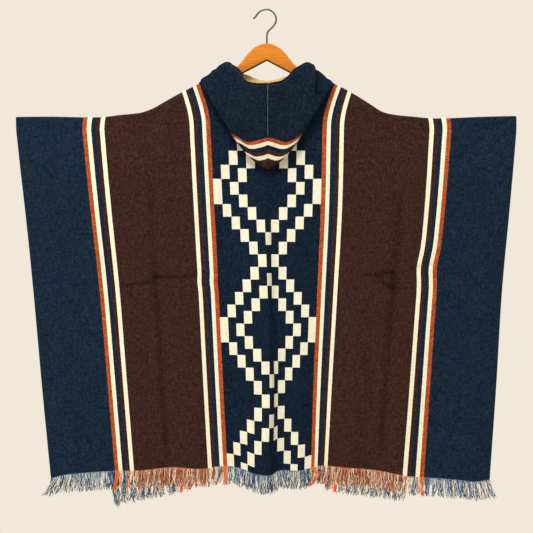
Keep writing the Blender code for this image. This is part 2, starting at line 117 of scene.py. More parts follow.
class Wire:
    """A node's output, with which sums are written as they are said."""

    def __init__(self, socket):
        self.socket = socket
        self.tree = socket.id_data

    def calc(self, operation, *others):
        return wire(self.tree, "ShaderNodeMath", enumerate((self, *others)), operation=operation)

    def __rsub__(self, other):
        return self * -1.0 + other

    __add__ = partialmethod(calc, "ADD")
    __sub__ = partialmethod(calc, "SUBTRACT")
    __mul__ = partialmethod(calc, "MULTIPLY")
    __truediv__ = partialmethod(calc, "DIVIDE")
    __pow__ = partialmethod(calc, "POWER")
    __abs__ = partialmethod(calc, "ABSOLUTE")


def split(place):
    """The three axes of a vector."""
    axes = add_node(place.tree, "ShaderNodeSeparateXYZ", {0: place}).outputs
    return [Wire(axis) for axis in axes]


def place_on(tree):
    """The place of a point on the object, in metres."""
    return wire(tree, "ShaderNodeTexCoord", output="Object")


def stretched(place, scales):
    return wire(place.tree, "ShaderNodeMapping", {"Vector": place, "Scale": scales})


def speckle(place, scale, output="Fac", **more):
    """Soft noise with so many marks to the metre."""
    return wire(place.tree, "ShaderNodeTexNoise", {"Vector": place, "Scale": scale, **more}, output)


def ranged(value, low, high, to_low, to_high):
    """A value carried from one range to another and held at its ends."""
    return wire(value.tree, "ShaderNodeMapRange", {
        "Value": value, "From Min": low, "From Max": high, "To Min": to_low, "To Max": to_high})


def mix(tree, share, first, second, blend):
    return wire(tree, "ShaderNodeMix", {"Factor": share, 6: first, 7: second}, 2,
                data_type="RGBA", blend_type=blend)


def laid_over(share, under, over):
    """So large a share of one colour over another."""
    return mix(share.tree, share, under, over, "MIX")


def solid(colour):
    return (*colour, 1.0)


def tone_ramp(share, steps, interpolation="LINEAR"):
    """The colour at a share of the way through steps of (share, colour), which begin with two."""
    item = add_node(share.tree, "ShaderNodeValToRGB", {"Fac": share})
    ramp = item.color_ramp
    ramp.interpolation = interpolation
    for index, (start, colour) in enumerate(steps):
        element = ramp.elements[index] if index < 2 else ramp.elements.new(start)
        element.position = start
        element.color = solid(colour)
    return Wire(item.outputs["Color"])


def new_finish(name, roughness, sheen=0.0, metallic=0.0, gloss=0.5):
    """A material with the surface's even values on its own shader."""
    finish = bpy.data.materials.new(name)
    finish.use_nodes = True
    shader = finish.node_tree.nodes["Principled BSDF"]
    shader.inputs["Roughness"].default_value = roughness
    shader.inputs["Metallic"].default_value = metallic
    shader.inputs["Specular IOR Level"].default_value = gloss
    shader.inputs["Sheen Weight"].default_value = sheen
    shader.inputs["Sheen Roughness"].default_value = 0.55
    return finish, finish.node_tree, shader


def cover(shader, colour, height, distance, strength=1.0):
    """The surface's colour, and its small relief in metres."""
    bump = wire(colour.tree, "ShaderNodeBump",
                {"Height": height, "Distance": distance, "Strength": strength})
    for name, value in (("Base Color", colour), ("Normal", bump)):
        colour.tree.links.new(value.socket, shader.inputs[name])


def add_object(name, data):
    """An object in the scene, at the origin."""
    item = bpy.data.objects.new(name, data)
    bpy.context.scene.collection.objects.link(item)
    return item


def add_piece(name, mesh, finish):
    mesh.materials.clear()
    mesh.materials.append(finish)
    return add_object(name, mesh)


def finished_mesh(name, guide):
    """The guide's finished shape as a mesh without modifiers; the guide goes."""
    bpy.context.view_layer.update()
    depsgraph = bpy.context.evaluated_depsgraph_get()
    mesh = bpy.data.meshes.new_from_object(guide.evaluated_get(depsgraph))
    mesh.transform(guide.matrix_world)
    mesh.name = name
    bpy.data.objects.remove(guide, do_unlink=True)
    return mesh


def smooth(mesh):
    mesh.shade_smooth()
    mesh.set_sharp_from_angle(angle=SMOOTH_ANGLE)
    return mesh


def settle(name, guide, finish):
    """The guide's shape as a named piece that rides on the body."""
    mesh = finished_mesh(name, guide)
    bm = bmesh.new()
    bm.from_mesh(mesh)
    bmesh.ops.remove_doubles(bm, verts=bm.verts, dist=MEETING * MM)
    bmesh.ops.recalc_face_normals(bm, faces=bm.faces)
    bm.to_mesh(mesh)
    bm.free()
    piece = add_piece(name, smooth(mesh), finish)
    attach(piece, "root")
    return piece


def beech_finish():
    """Warm varnished beech: long grain along the bow, short dark flecks, a soft gloss and painted
    shade along the arch's lower edge.
    """
    finish, tree, shader = new_finish("varnished beech", 0.66, gloss=0.15)
    place = place_on(tree)
    grain = speckle(stretched(place, (4.0, 60.0, 55.0)), 6.0, Detail=7.0, Distortion=0.5)
    tones = tone_ramp(grain, ((0.3, srgb(164, 89, 17)), (0.72, srgb(190, 120, 31))))
    flecks = speckle(stretched(place, (130.0, 900.0, 900.0)), 1.0, Detail=2.0)
    colour = laid_over(ranged(flecks, 0.6, 0.75, 0.0, 0.55), tones, solid(srgb(144, 71, 21)))
    x, _, z = split(place)
    # Painted shade under the bow: darkest along the arch's lower edge, fading upward
    arch = abs(x).calc("MULTIPLY_ADD", ARCH_SLOPE, z)
    full, gone = [(BOW_APEX + over) * MM for over in ARCH_SHADE_BAND]
    colour = laid_over(ranged(arch, full, gone, 0.9, 0.0), colour, solid(srgb(84, 36, 8)))
    cover(shader, colour, grain, 0.0003, 0.5)
    return finish


def rounded_line(name, points, radius):
    """A curve object through the points, its edge rounded by a radius."""
    curve = bpy.data.curves.new(name, "CURVE")
    curve.bevel_depth = radius * MM
    curve.bevel_resolution = 5
    spline = curve.splines.new("POLY")
    spline.points.add(len(points) - 1)
    for spot, point in zip(spline.points, points):
        spot.co = (*[axis * MM for axis in point], 1.0)
    return add_object(name, curve), curve, spline


bow_right = round_off([(-BOW_OUTLINE[1][0], BOW_OUTLINE[1][1]), *BOW_OUTLINE], 4)[4:]
bow_left = [(-x, z) for x, z in reversed(bow_right[1:-1])]
bow_guide, bow_curve, bow_spline = rounded_line(
    "bow outline", [(x, z, 0.0) for x, z in bow_right + bow_left], BOW_ROUND)
bow_guide.rotation_euler = (math.pi / 2, 0.0, 0.0)
bow_spline.use_cyclic_u = True
bow_curve.dimensions = "2D"
bow_curve.fill_mode = "BOTH"
bow_curve.extrude = (BOW_THICK / 2 - BOW_ROUND) * MM
bow_curve.offset = -BOW_ROUND * MM
bow = settle("hanger_bow", bow_guide, beech_finish())
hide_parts("hanger_wood")

# ---------------------------------------------------------------- hanger hook
# Steel wire bent into an open hook. Its plain stem is pushed into the bore in the bow's crown.
WIRE = 4.5
HOOK_BORE_DEPTH = 17.7
HOOK_TIP = (0.72, 0.95)   # share of its thickness at the wire's first points
# Centre of the wire from its tip over the top and down into the wood.
HOOK_ROUTE = (
    (-34.6, -20.4), (-30.6, -16.2), (-27.0, -11.8), (-24.0, -7.6), (-20.4, -3.4), (-14.4, 0.8),
    (-7.4, 3.1), (0, 3.9), (7.4, 2.6), (14.2, -1.2), (19.6, -7), (22.8, -13.8), (23.8, -20.6),
    (22.7, -28), (19.2, -35.2), (13.6, -41.8), (7.6, -47.6), (3, -52.4), (0.7, -57.6), (0, -65),
    (0, -83), (0, BOW_CROWN - HOOK_BORE_DEPTH),
)


def steel_finish():
    """Drawn steel: fine streaks along the wire and a dull, warm gloss."""
    finish, tree, shader = new_finish("drawn steel", 0.38, metallic=1.0)
    marks = speckle(place_on(tree), 900.0, Detail=3.0)
    tones = tone_ramp(marks, ((0.35, srgb(66, 57, 50)), (0.7, srgb(108, 97, 87))))
    cover(shader, tones, marks, 0.00005)
    return finish


hook_guide, hook_curve, hook_spline = rounded_line(
    "hook route", [(x, 0.0, z) for x, z in round_off(HOOK_ROUTE, 3)], WIRE / 2)
hook_curve.dimensions = "3D"
hook_curve.use_fill_caps = True
for hook_point, hook_share in zip(hook_spline.points, HOOK_TIP):
    hook_point.radius = hook_share
hook = settle("hanger_wire_hook", hook_guide, steel_finish())
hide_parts("hanger_hook")

# ---------------------------------------------------------------- woven web
# The poncho's body is one length of thick, warp-striped wool, folded over the hanger's arms with a
# slit for the neck. Places across it are counted in millimetres of cloth from its middle. Its back
# hangs nearly flat with a fold down its middle, and its front falls in folds behind it.
CLOTH = 2.4
HALF_WEB = 638.0
SELVEDGE = 0.5            # this near its side edges the web thins
SELVEDGE_SHARE = 0.5      # to this share of its wall
NECK_REACH = 172.0        # where the slit ends, along the hanger
FOLD_RADIUS = 7.6         # middle of the cloth, round the hanger's arm
# Rows over the fold, as distances down the cloth.
CROWN_STEPS = (0.0, 1.2, 2.6, 4.4, 6.2, 8.0, 10.0, 12.0, 15.0, 18.0)
FRONT_ROWS = 84
SETTLE = 150.0            # drop in which a panel reaches its own depth
BACK_DEPTH = 17.0
FRONT_DEPTH = 18.0
# Distances out along the hanger, and the height of the shoulder's fold there on either side.
SHOULDER_OUT = (100, 150, 172, 201, 232, 262, 293, 323, 370, 430, 554, 641)
SHOULDER = {
    -1: (-151, -175.4, -186.4, -200.4, -216.6, -233.6, -250.8, -261, -266.2, -272.6, -271, -271.6),
    1: (-151, -175.4, -186.8, -201.2, -219.2, -238, -257.6, -265.6, -270.6, -275.6, -271.2, -269),
}
# The same for the slit's two edges, as the depth and the height of each.
NECK_OUT = (0, 30, 60, 100, 140, 168)
BACK_NECK = ((18, 18, 18, 17, 12.5, 8.6), (-205, -204.2, -202.4, -198, -191, -184.4))
FRONT_NECK = ((20, 20, 20, 18, 13.5, 8.6), (-178, -172.5, -164.5, -171.5, -181, -184.4))
# How far the slit's front edge rises on its left: where that starts and stops, its rise and fall.
NECK_LIFT = 4.5
NECK_LIFT_REACH = (-120.0, 55.0, -12.0, 45.0)
# Where places on the web cross the shoulder's fold, as (place, distance out).
CROSSING = (
    (-638, -641), (-466, -468), (-412, -412), (-197, -217), (-143, -172), (-139, -168), (0, 0),
    (139, 168), (143, 172), (197, 216), (412, 412), (466, 468), (638, 637),
)
# Columns of the mesh between places on the web. They stand close at the folds and creases.
WEB_STRETCHES = (
    (-638, -322, 34), (-322, -300, 11), (-300, -143, 17), (-143, -139, 1), (-139, -70, 9),
    (-70, 50, 34), (50, 139, 12), (139, 143, 1), (143, 270, 13), (270, 340, 22), (340, 357, 7),
    (357, 638, 31),
)
# Rows of the back between shares of its drop. They stand close where creases cross it.
BACK_STRETCHES = ((0.0, 0.385, 38), (0.385, 0.505, 36), (0.505, 1.0, 48))
shoulder_at = {side: smooth_line(zip(SHOULDER_OUT, heights)) for side, heights in SHOULDER.items()}
neck_at = {side: [smooth_line(zip(NECK_OUT, line)) for line in lines]
           for side, lines in (("back", BACK_NECK), ("front", FRONT_NECK))}
crossing_at = smooth_line(CROSSING)


def spread(stretches):
    """Places from end to end of some stretches, each at its own even steps."""
    places = [stretches[0][0]]
    for first, last, count in stretches:
        places += [first + (last - first) * i / count for i in range(1, count + 1)]
    return places


def ease(t):
    """An even start and stop between 0 and 1."""
    t = min(1.0, max(0.0, t))
    return t * t * (3.0 - 2.0 * t)


def rise_from(value, start, reach):
    """0 up to a start, and 1 a reach past it."""
    return ease((value - start) / reach)


def between(place, start, rise, stop, fall):
    """1 between two places and 0 past them, with a soft rise and fall inside them."""
    return rise_from(place, start, rise) * ease((stop - place) / fall)


def bell(offset, reach):
    """1 in the middle, and soon 0 past its reach."""
    return math.exp(-(offset / reach) ** 2)


def partway(first, last, share):
    return first + (last - first) * share


def shoulder_height(x):
    return shoulder_at[-1 if x < 0 else 1](abs(x))


def neck_height(x, side):
    """Height of the slit's edge, which the front lifts a little on its left."""
    lift = between(x, *NECK_LIFT_REACH) if side == "front" else 0.0
    return neck_at[side][1](abs(x)) + NECK_LIFT * lift


def top_of_column(x, side, distance):
    """Depth and height at a distance down a column of the web, from the fold or the slit."""
    if abs(x) < NECK_REACH:
        return neck_at[side][0](abs(x)), neck_height(x, side) - distance
    height = shoulder_height(x)
    angle = distance / FOLD_RADIUS
    if angle < math.pi / 2:
        return FOLD_RADIUS * math.sin(angle), height - FOLD_RADIUS * (1.0 - math.cos(angle))
    return FOLD_RADIUS, height - FOLD_RADIUS - (distance - math.pi / 2 * FOLD_RADIUS)


# Each line between stripes on the back: its place on the web, then how far out it lies below the
# shoulder, a quarter and half way down, three quarters down and at the hem.
Line = namedtuple("Line", "web under quarter middle lower hem")
LINE_HEIGHTS = (-305.0, -509.0, -713.0, -956.0, -1200.0)
BACK_LINES = (
    Line(-638, -640, -616, -595, -573, -549),
    Line(-466, -471, -449, -426, -405, -384.3),
    Line(-412, -415, -396, -375, -355, -335),
    Line(-197, -197, -186.5, -175, -162.5, -149),
    Line(-143, -144, -133.5, -123, -111.5, -98.5),
    Line(-11, -11, -6, 1.8, 7, 3),
    Line(11, 11, 10, 11.5, 17.5, 14),
    Line(33, 33, 31, 29.5, 28, 25),
    Line(143, 141.5, 137, 128.5, 118.5, 111.5),
    Line(197, 197, 192, 180.5, 166, 152.5),
    Line(412, 415.3, 401.2, 381.6, 362.8, 343.2),
    Line(466, 470.6, 453, 432.9, 415.5, 398.8),
    Line(638, 637, 618, 599, 584, 567),
)
# Pressed folds draw a band inward at one height: one the outer right band, a smaller one the inner
# left band. The web's places are where each starts and stops, with its rise and fall.
Kink = namedtuple("Kink", "web height reach shift")
KINKS = (
    Kink((330.0, 75.0, 580.0, 80.0), -655.0, 36.0, 5.5),
    Kink((-245.0, 35.0, -115.0, 25.0), -694.0, 15.0, 1.6),
)
BACK_HEM = (
    (-638, -1192), (-590, -1180), (-466, -1173), (-388, -1170), (-285, -1163), (-215, -1167),
    (-148, -1160), (-85, -1170), (-58, -1178.5), (-24, -1181.5), (9, -1180.5), (45, -1171.5),
    (113, -1171), (160, -1161), (203, -1160), (343, -1172), (440, -1187), (560, -1195),
    (598, -1199), (638, -1195),
)
# Waves along the back: the middle of each on the web, its reach to either side, and how far it
# stands out half way down and at the hem.
BACK_WAVES = (
    (-575, 80, 90, 4, 15), (-400, 70, 70, 4, 13), (-252, 70, 70, 5, 16), (-14, 105, 42, 17, 30),
    (95, 48, 50, 5, 13), (250, 65, 70, 5, 15), (395, 70, 70, 5, 14), (575, 90, 75, 4, 13),
)
UNDER_HEIGHT = LINE_HEIGHTS[0]
MIDDLE_HEIGHT = LINE_HEIGHTS[2]
ROWS_LEVEL = -916.0       # above this the pattern's rows run level, whatever the hem does
HEM_LEVEL = -1166.0
TOP_LEVEL = -430.0        # and above this they are woven a little taller
TOP_SHARE = 0.89
back_hem_at = smooth_line(BACK_HEM)
line_places = [line.web for line in BACK_LINES]
line_curves = [smooth_line([(-height, value) for height, value in zip(LINE_HEIGHTS, line[1:])])
               for line in BACK_LINES]


def line_share(place):
    """The two stripe lines beside a place and its share of the way from one to the other."""
    i = min(len(line_places) - 2, max(0, bisect_right(line_places, place) - 1))
    return i, (place - line_places[i]) / (line_places[i + 1] - line_places[i])


def back_x(place, height):
    """How far out a place of the web lies on the back at a height."""
    i, share = line_share(place)
    if height < UNDER_HEIGHT:
        x = partway(line_curves[i](-height), line_curves[i + 1](-height), share)
        for kink in KINKS:
            x -= kink.shift * between(place, *kink.web) * bell(height - kink.height, kink.reach)
        return x
    crossing = crossing_at(place)
    start = shoulder_height(crossing)
    drop = (start - height) / max(1.0, start - UNDER_HEIGHT)
    under = partway(BACK_LINES[i].under, BACK_LINES[i + 1].under, share)
    return partway(crossing, under, math.sin(min(1.0, drop) * math.pi / 2))


wave_growth = [smooth_line([(LINE_HEIGHTS[-1], hem), (MIDDLE_HEIGHT, middle), (UNDER_HEIGHT, 0.0)])
               for _, _, _, middle, hem in BACK_WAVES]


def wave_depth(place, height):
    """How far the waves lift the back out at a place on the web."""
    total = 0.0
    for (middle, left, right, _, _), growth in zip(BACK_WAVES, wave_growth):
        offset = abs(place - middle) / (left if place < middle else right)
        if offset < 1.0:
            total += growth(min(UNDER_HEIGHT, height)) * math.cos(offset * math.pi / 2) ** 2
    return total


# Soft creases left by folding and wear: both ends as (place, height), then how wide each is, how
# far it sinks in and how much painted shade darkens the wool along it. A ridge has a negative
# depth.
BACK_CREASES = (
    ((-409, -706), (-322, -692), 3.4, 2.4, 0.34), ((-318, -678), (-256, -681), 4.6, 2.6, 0.5),
    ((-256, -681), (-205, -676.5), 4.0, 2.2, 0.4), ((-334, -702), (-302, -676), 8, 1.0, 0.22),
    ((263, -677), (311, -672.5), 5.0, 2.4, 0.34), ((311, -672.5), (348, -667.5), 5.0, 2.4, 0.36),
    ((300, -677), (327, -699), 5.0, 2.2, 0.34), ((327, -699), (349, -710.5), 5.0, 2.2, 0.36),
    ((349, -710.5), (379, -711), 4.5, 1.8, 0.3), ((405, -655), (480, -645), 5, 1.8, 0.12),
    ((330, -640), (350, -722), 22, 0.8, 0.12), ((-309, -430), (-313, -690), 9, 1.2, 0.22),
    ((-313, -690), (-315, -1150), 8, 1.8, 0.3), ((346, -470), (348, -700), 12, 1.2, 0.26),
    ((347, -700), (344, -1120), 9, 1.6, 0.28), ((-6, -700), (2, -980), 3.5, -1.5, 0.0),
    ((-560, -420), (-545, -1130), 14, 1.5, 0.03), ((548, -380), (560, -1120), 14, 1.5, 0.03),
    ((-120, -330), (-98, -620), 16, 1.6, 0.03), ((95, -350), (82, -700), 16, 1.6, 0.03),
    ((-250, -300), (-238, -560), 18, 1.4, 0.03), ((262, -300), (250, -600), 18, 1.4, 0.03),
)
FRONT_CREASES = (
    ((-600, -660), (-210, -690), 5, 1.8, 0.2), ((180, -676), (610, -650), 5, 1.8, 0.2),
    ((-90, -520), (60, -545), 10, 1.5, 0.06), ((-560, -330), (-548, -1100), 12, 1.8, 0.05),
    ((556, -330), (545, -1090), 12, 1.8, 0.05), ((-330, -300), (-300, -620), 14, 1.8, 0.05),
    ((318, -300), (300, -640), 14, 1.8, 0.05), ((-40, -240), (-20, -520), 12, 1.5, 0.05),
)
CREASE_FADE_SHARE = 0.15  # either side of its ends a crease fades over this share of its length,
CREASE_FADE = 40.0        # and over this at most
CREASE_REACH = 3.0        # how many times its width a crease reaches to either side
# Unevenness of the cloth: marks to the millimetre across and up, a shift and how far it stands out.
GRAIN = ((0.011, 0.006, 0.0, 1.3), (0.045, 0.02, 7.0, 0.45))
BACK_SEED = 3.0
FRONT_SEED = 9.0


def crease_at(creases, place, height):
    """How far the creases sink the cloth at a place and height, and their painted shade there."""
    sunk = painted_shade = 0.0
    for (ax, az), (bx, bz), width, depth, shade in creases:
        run, rise = bx - ax, bz - az
        length = math.hypot(run, rise)
        fade = min(CREASE_FADE, length * CREASE_FADE_SHARE)
        along = ((place - ax) * run + (height - az) * rise) / length
        across = ((place - ax) * rise - (height - az) * run) / length
        if -fade < along < length + fade and abs(across) < CREASE_REACH * width:
            there = between(along, -fade, 2 * fade, length + fade, 2 * fade) * bell(across, width)
            sunk += depth * there
            # painted shade along the crease
            painted_shade += shade * there
    return sunk, painted_shade


def cloth_grain(place, height, seed):
    """The small unevenness of a heavy hand-woven cloth."""
    return sum(noise.noise(Vector((place * wide, height * high, seed + shift))) * size
               for wide, high, shift, size in GRAIN)


def pattern_height(height, hem):
    """Distance above the hem at which the pattern's rows are counted."""
    if height > TOP_LEVEL:
        return partway(TOP_LEVEL, height, TOP_SHARE) - HEM_LEVEL
    if height > ROWS_LEVEL:
        return height - HEM_LEVEL
    return (height - hem) * (ROWS_LEVEL - HEM_LEVEL) / (ROWS_LEVEL - hem)


def back_column(place):
    """Points of one column of the back with the height of each in the pattern."""
    crossing = crossing_at(place)
    hem = back_hem_at(place)
    column = []
    for distance in CROWN_STEPS:
        depth, height = top_of_column(crossing, "back", distance)
        column.append((Vector((back_x(place, height), -depth, height)),
                       pattern_height(height, hem), 0.0))
    column[0][0].x = crossing
    depth_top, start = top_of_column(crossing, "back", CROWN_STEPS[-1])
    for drop in spread(BACK_STRETCHES)[1:]:
        height = partway(start, hem, drop)
        settled = ease((start - height) / SETTLE)
        depth = partway(depth_top, BACK_DEPTH, settled) + wave_depth(place, height)
        sunk, painted_shade = crease_at(BACK_CREASES, place, height)
        depth += settled * (cloth_grain(place, height, BACK_SEED) - sunk)
        column.append((Vector((back_x(place, height), -depth, height)),
                       pattern_height(height, hem), painted_shade))
    return column


# The front's folds: the cloth in each, and how full it is beside an even one.
FRONT_FOLDS = ((176, 0.97), (204, 1.04), (180, 0.95), (196, 1.06), (176, 0.98))
FOLD_STEP = 2.0           # of cloth, along the folds' cross-section
FRONT_RUST = 466.0        # place of the outer rust stripe, between which the front is folded
NARROWING = 1.25          # power of the way down by which the front draws in
STEEPEST_TURN = 2.0       # radians; the folds' own turn is found by halving from there
TURN_HALVINGS = 22
# How far out the web's side edge and the rust stripe hang on each side, at the top and at the hem,
# and how far the cloth between them bows out.
Border = namedtuple("Border", "top_edge top_rust edge rust bow")
FRONT_LEFT = Border(-639.0, -468.0, -398.0, -225.0, 16.0)
FRONT_RIGHT = Border(639.0, 468.0, 351.0, 180.0, 14.0)
FRONT_HEM = (
    (-638, -1218), (-560, -1203), (-466, -1182), (-230, -1140), (0, -1116),
    (230, -1138), (466, -1182), (560, -1197), (638, -1204),
)
front_hem_at = smooth_line(FRONT_HEM)


def fold_path(turn):
    """The folds' cross-section, which swings each way by the given angle, at even steps."""
    x = depth = 0.0
    path = [(x, depth)]
    for cloth, fullness in FRONT_FOLDS:
        steps = round(cloth / FOLD_STEP)
        length = cloth / steps
        for step in range(steps):
            angle = turn * fullness * math.sin((step + 0.5) / steps * 2 * math.pi)
            x += length * math.cos(angle)
            depth += length * math.sin(angle)
            path.append((x, depth))
    return path


def folds_of_width(width):
    """The folds' cross-section that is as wide as the cloth hangs at one height."""
    low, high = 0.0, STEEPEST_TURN
    for _ in range(TURN_HALVINGS):
        turn = (low + high) / 2
        if fold_path(turn)[-1][0] > width:
            low = turn
        else:
            high = turn
    path = fold_path((low + high) / 2)
    scale = width / path[-1][0]
    return [(x * scale, depth) for x, depth in path]


def front_row(down, places):
    """How far out each place lies and how deep its fold is, a share of the way down."""
    run = down ** NARROWING
    sides = [(partway(side.top_edge, side.edge, run), partway(side.top_rust, side.rust, run),
              side.bow) for side in (FRONT_LEFT, FRONT_RIGHT)]
    left_rust, right_rust = [rust for _, rust, _ in sides]
    folds = folds_of_width(right_rust - left_rust)
    row = []
    for place in places:
        if abs(place) >= FRONT_RUST:
            share = (abs(place) - FRONT_RUST) / (HALF_WEB - FRONT_RUST)
            edge, rust, bow = sides[place > 0]
            row.append((partway(rust, edge, share), bow * run * math.sin(share * math.pi)))
            continue
        spot = (place + FRONT_RUST) / (2 * FRONT_RUST) * (len(folds) - 1)
        i = min(len(folds) - 2, int(spot))
        (ax, ay), (bx, by) = folds[i], folds[i + 1]
        row.append((left_rust + ax + (bx - ax) * (spot - i), partway(ay, by, spot - i)))
    return row


def front_columns(places):
    """Points of every column of the front with the height of each in the pattern."""
    columns = []
    for place in places:
        crossing = crossing_at(place)
        column = []
        for distance in CROWN_STEPS:
            depth, height = top_of_column(crossing, "front", distance)
            column.append((Vector((crossing, depth, height)), height - front_hem_at(place), 0.0))
        columns.append(column)
    for step in range(1, FRONT_ROWS + 1):
        down = step / FRONT_ROWS
        for place, column, (x, fold) in zip(places, columns, front_row(down, places)):
            top = column[len(CROWN_STEPS) - 1][0]
            hem = front_hem_at(place)
            height = partway(top.z, hem, down)
            settled = ease((top.z - height) / SETTLE)
            near = partway(top.x, x, settled)
            depth = partway(top.y, FRONT_DEPTH, settled) + fold * settled
            sunk, painted_shade = crease_at(FRONT_CREASES, place, height)
            depth += settled * (cloth_grain(place, height, FRONT_SEED) - sunk)
            column.append((Vector((near, depth, height)), height - hem, painted_shade))
    return columns


NAVY = srgb(10, 27, 44.5)
FIELD_NAVY = srgb(4, 21, 38)
BROWN = srgb(44, 24.5, 20.6)
CREAM = srgb(206, 204, 184)
TAN = srgb(201, 193, 162)
RUST = srgb(145, 65, 29)
SQUARE_CREAM = srgb(202, 200, 181)
STRIPE_COLOURS = {"rust": RUST, "cream": CREAM, "navy": NAVY, "brown": BROWN}
INNER_BAND = 143.0        # where the inner band of five stripes begins
INNER_STRIPES = ((10.8, "rust"), (9.6, "cream"), (11.4, "navy"), (11.0, "brown"), (10.3, "cream"))
OUTER_BAND = 412.0
RUST_STRIPE = 10.8        # width of a rust stripe, and of each stripe of the outer band
OUTER_STRIPES = [(RUST_STRIPE, name) for name in ("cream", "brown", "navy", "cream", "rust")]
BAND_REACH = 60.0         # a little more than a band is wide
TAN_YARN = 1.4            # width of the tan yarn in a cream stripe
COLUMN_PITCH = 22.0       # of the pattern's squares, across
ROW_PITCH = 32.0          # and up
REPEAT_ROWS = 11.0        # rows from one diamond to the next
OUTER_CORNER = 6.0        # column in which the outer diamond turns
INNER_CORNER = 4.0
INNER_ROWS = 4.5          # rows from a diamond's middle to its inner tip
TOP_DIAMOND = 528.0       # from here up, the inner diamond is woven a little higher
INNER_RISE = 8.0
WARP_YARN = 0.0017        # metres from one warp yarn to the next
WEFT_YARN = 0.0034
STRAY = 0.0012            # how far the yarns at a stripe's edge stray
HAIR_AND_SHEEN = 0.03          # share of light hair and painted sheen of the fuzz over dark yarn
# Streaks along warp and weft: marks to the metre across and up, and how far they vary the tone.
STREAKS = ((210.0, 60.0, 0.34), (60.0, 210.0, 0.3))
YARN_TONES = (0.55, 1.45)
# Brightness at which yarn begins to count as pale and is quite pale, and how far its tone varies
# at each.
PALING = (0.06, 0.3, 1.0, 0.14)
BEAD_SHARE = 0.6          # of the weave's height that its beads take


def vector(tree, **axes):
    """A vector from the axes that are given."""
    return wire(tree, "ShaderNodeCombineXYZ", axes)


def vector_sum(first, second):
    return wire(first.tree, "ShaderNodeVectorMath", {0: first, 1: second}, operation="ADD")


def scaled(along, share):
    return wire(along.tree, "ShaderNodeVectorMath", {0: along, "Scale": share}, operation="SCALE")


def toned(colour, tone, share=1.0):
    """A colour made lighter or darker by a tone."""
    return mix(tone.tree, share, colour, tone, "MULTIPLY")


def heather(place, scale, low, high):
    """A soft mottle between two values, as in hand-spun yarn."""
    return ranged(speckle(place, scale, Detail=4.0, Roughness=0.65), 0.3, 0.7, low, high)


def weave_height(across, up):
    """Height of a warp-faced plain weave: beads of yarn, offset from one end to the next."""
    end = across / WARP_YARN
    odd = end.calc("FLOOR").calc("PINGPONG", 1.0)
    ridge = abs((end * math.pi).calc("SINE"))
    pick = up / WEFT_YARN + odd * 0.5
    bead = abs((pick * math.pi).calc("SINE"))
    return ridge * (bead * BEAD_SHARE + (1.0 - BEAD_SHARE))


def wool_colour(colour, place, across, up, blotch):
    """Hand-spun wool over its dyed colour: slow shading, streaks along warp and weft and a tone for
    each yarn. Pale yarn keeps nearly even, and stray light hairs with painted sheen show on dark
    yarn. Last, painted shade of the creases and the hood's tuck darkens it.
    """
    tree = place.tree
    dark = ranged(wire(tree, "ShaderNodeRGBToBW", {"Color": colour}), *PALING)
    shaded = toned(colour, heather(place, 24.0, 1.0 - blotch, 1.0 + blotch), dark)
    for wide, high, vary in STREAKS:
        streak = vector(tree, X=across * wide, Y=up * high)
        shaded = toned(shaded, heather(streak, 1.0, 1.0 - vary, 1.0 + vary), dark)
    bead = vector(tree, X=(across / WARP_YARN).calc("FLOOR"), Y=(up / WEFT_YARN).calc("FLOOR"))
    tone = wire(tree, "ShaderNodeTexWhiteNoise", {"Vector": bead}, "Value")
    shaded = toned(shaded, ranged(tone, 0.0, 1.0, *YARN_TONES), dark)
    # Pale grey specks on dark yarn: stray light hairs and painted sheen of the fuzz
    hair_and_sheen = heather(place, 150.0, 0.0, 1.0) ** 2.0 * dark * HAIR_AND_SHEEN
    shaded = laid_over(hair_and_sheen, shaded, solid(srgb(160, 155, 147)))
    # Painted shade of the creases and the hood's tuck, laid over as black by its share
    painted_shade = wire(tree, "ShaderNodeAttribute", output="Fac", attribute_name="painted_shade")
    return laid_over(painted_shade, shaded, solid((0.0, 0.0, 0.0)))


def dress_in_wool(shader, colour, chart, blotch, fuzz, raised):
    """Hand-spun wool in the dyed colour, woven along the chart, with fuzz over its weave."""
    place = place_on(chart.tree)
    across, up, _ = split(chart)
    height = weave_height(across, up) + heather(place, 700.0, 0.0, fuzz) + raised
    cover(shader, wool_colour(colour, place, across, up, blotch), height, 0.0006, 0.8)


def diamond_rows(up):
    """Rows from the middle of the nearest diamond."""
    return abs((up / (ROW_PITCH * MM)).calc("WRAP", REPEAT_ROWS / 2, -REPEAT_ROWS / 2))


def band_colours(aside, start, stripes, field):
    """A band of stripes outward from its start, each cream one with a tan yarn in its middle."""
    edge = 0.0
    steps = []
    for width, name in stripes:
        steps.append((edge, STRIPE_COLOURS[name]))
        if name == "cream":
            yarn = edge + (width - TAN_YARN) / 2
            steps += [(yarn, TAN), (yarn + TAN_YARN, CREAM)]
        edge += width
    steps.append((edge, field))
    share = (aside - start * MM) / (BAND_REACH * MM)
    return tone_ramp(share, [(out / BAND_REACH, colour) for out, colour in steps], "CONSTANT")


def cloth_chart(tree):
    """Places across and up the cloth itself, in metres."""
    return wire(tree, "ShaderNodeUVMap", uv_map="cloth")


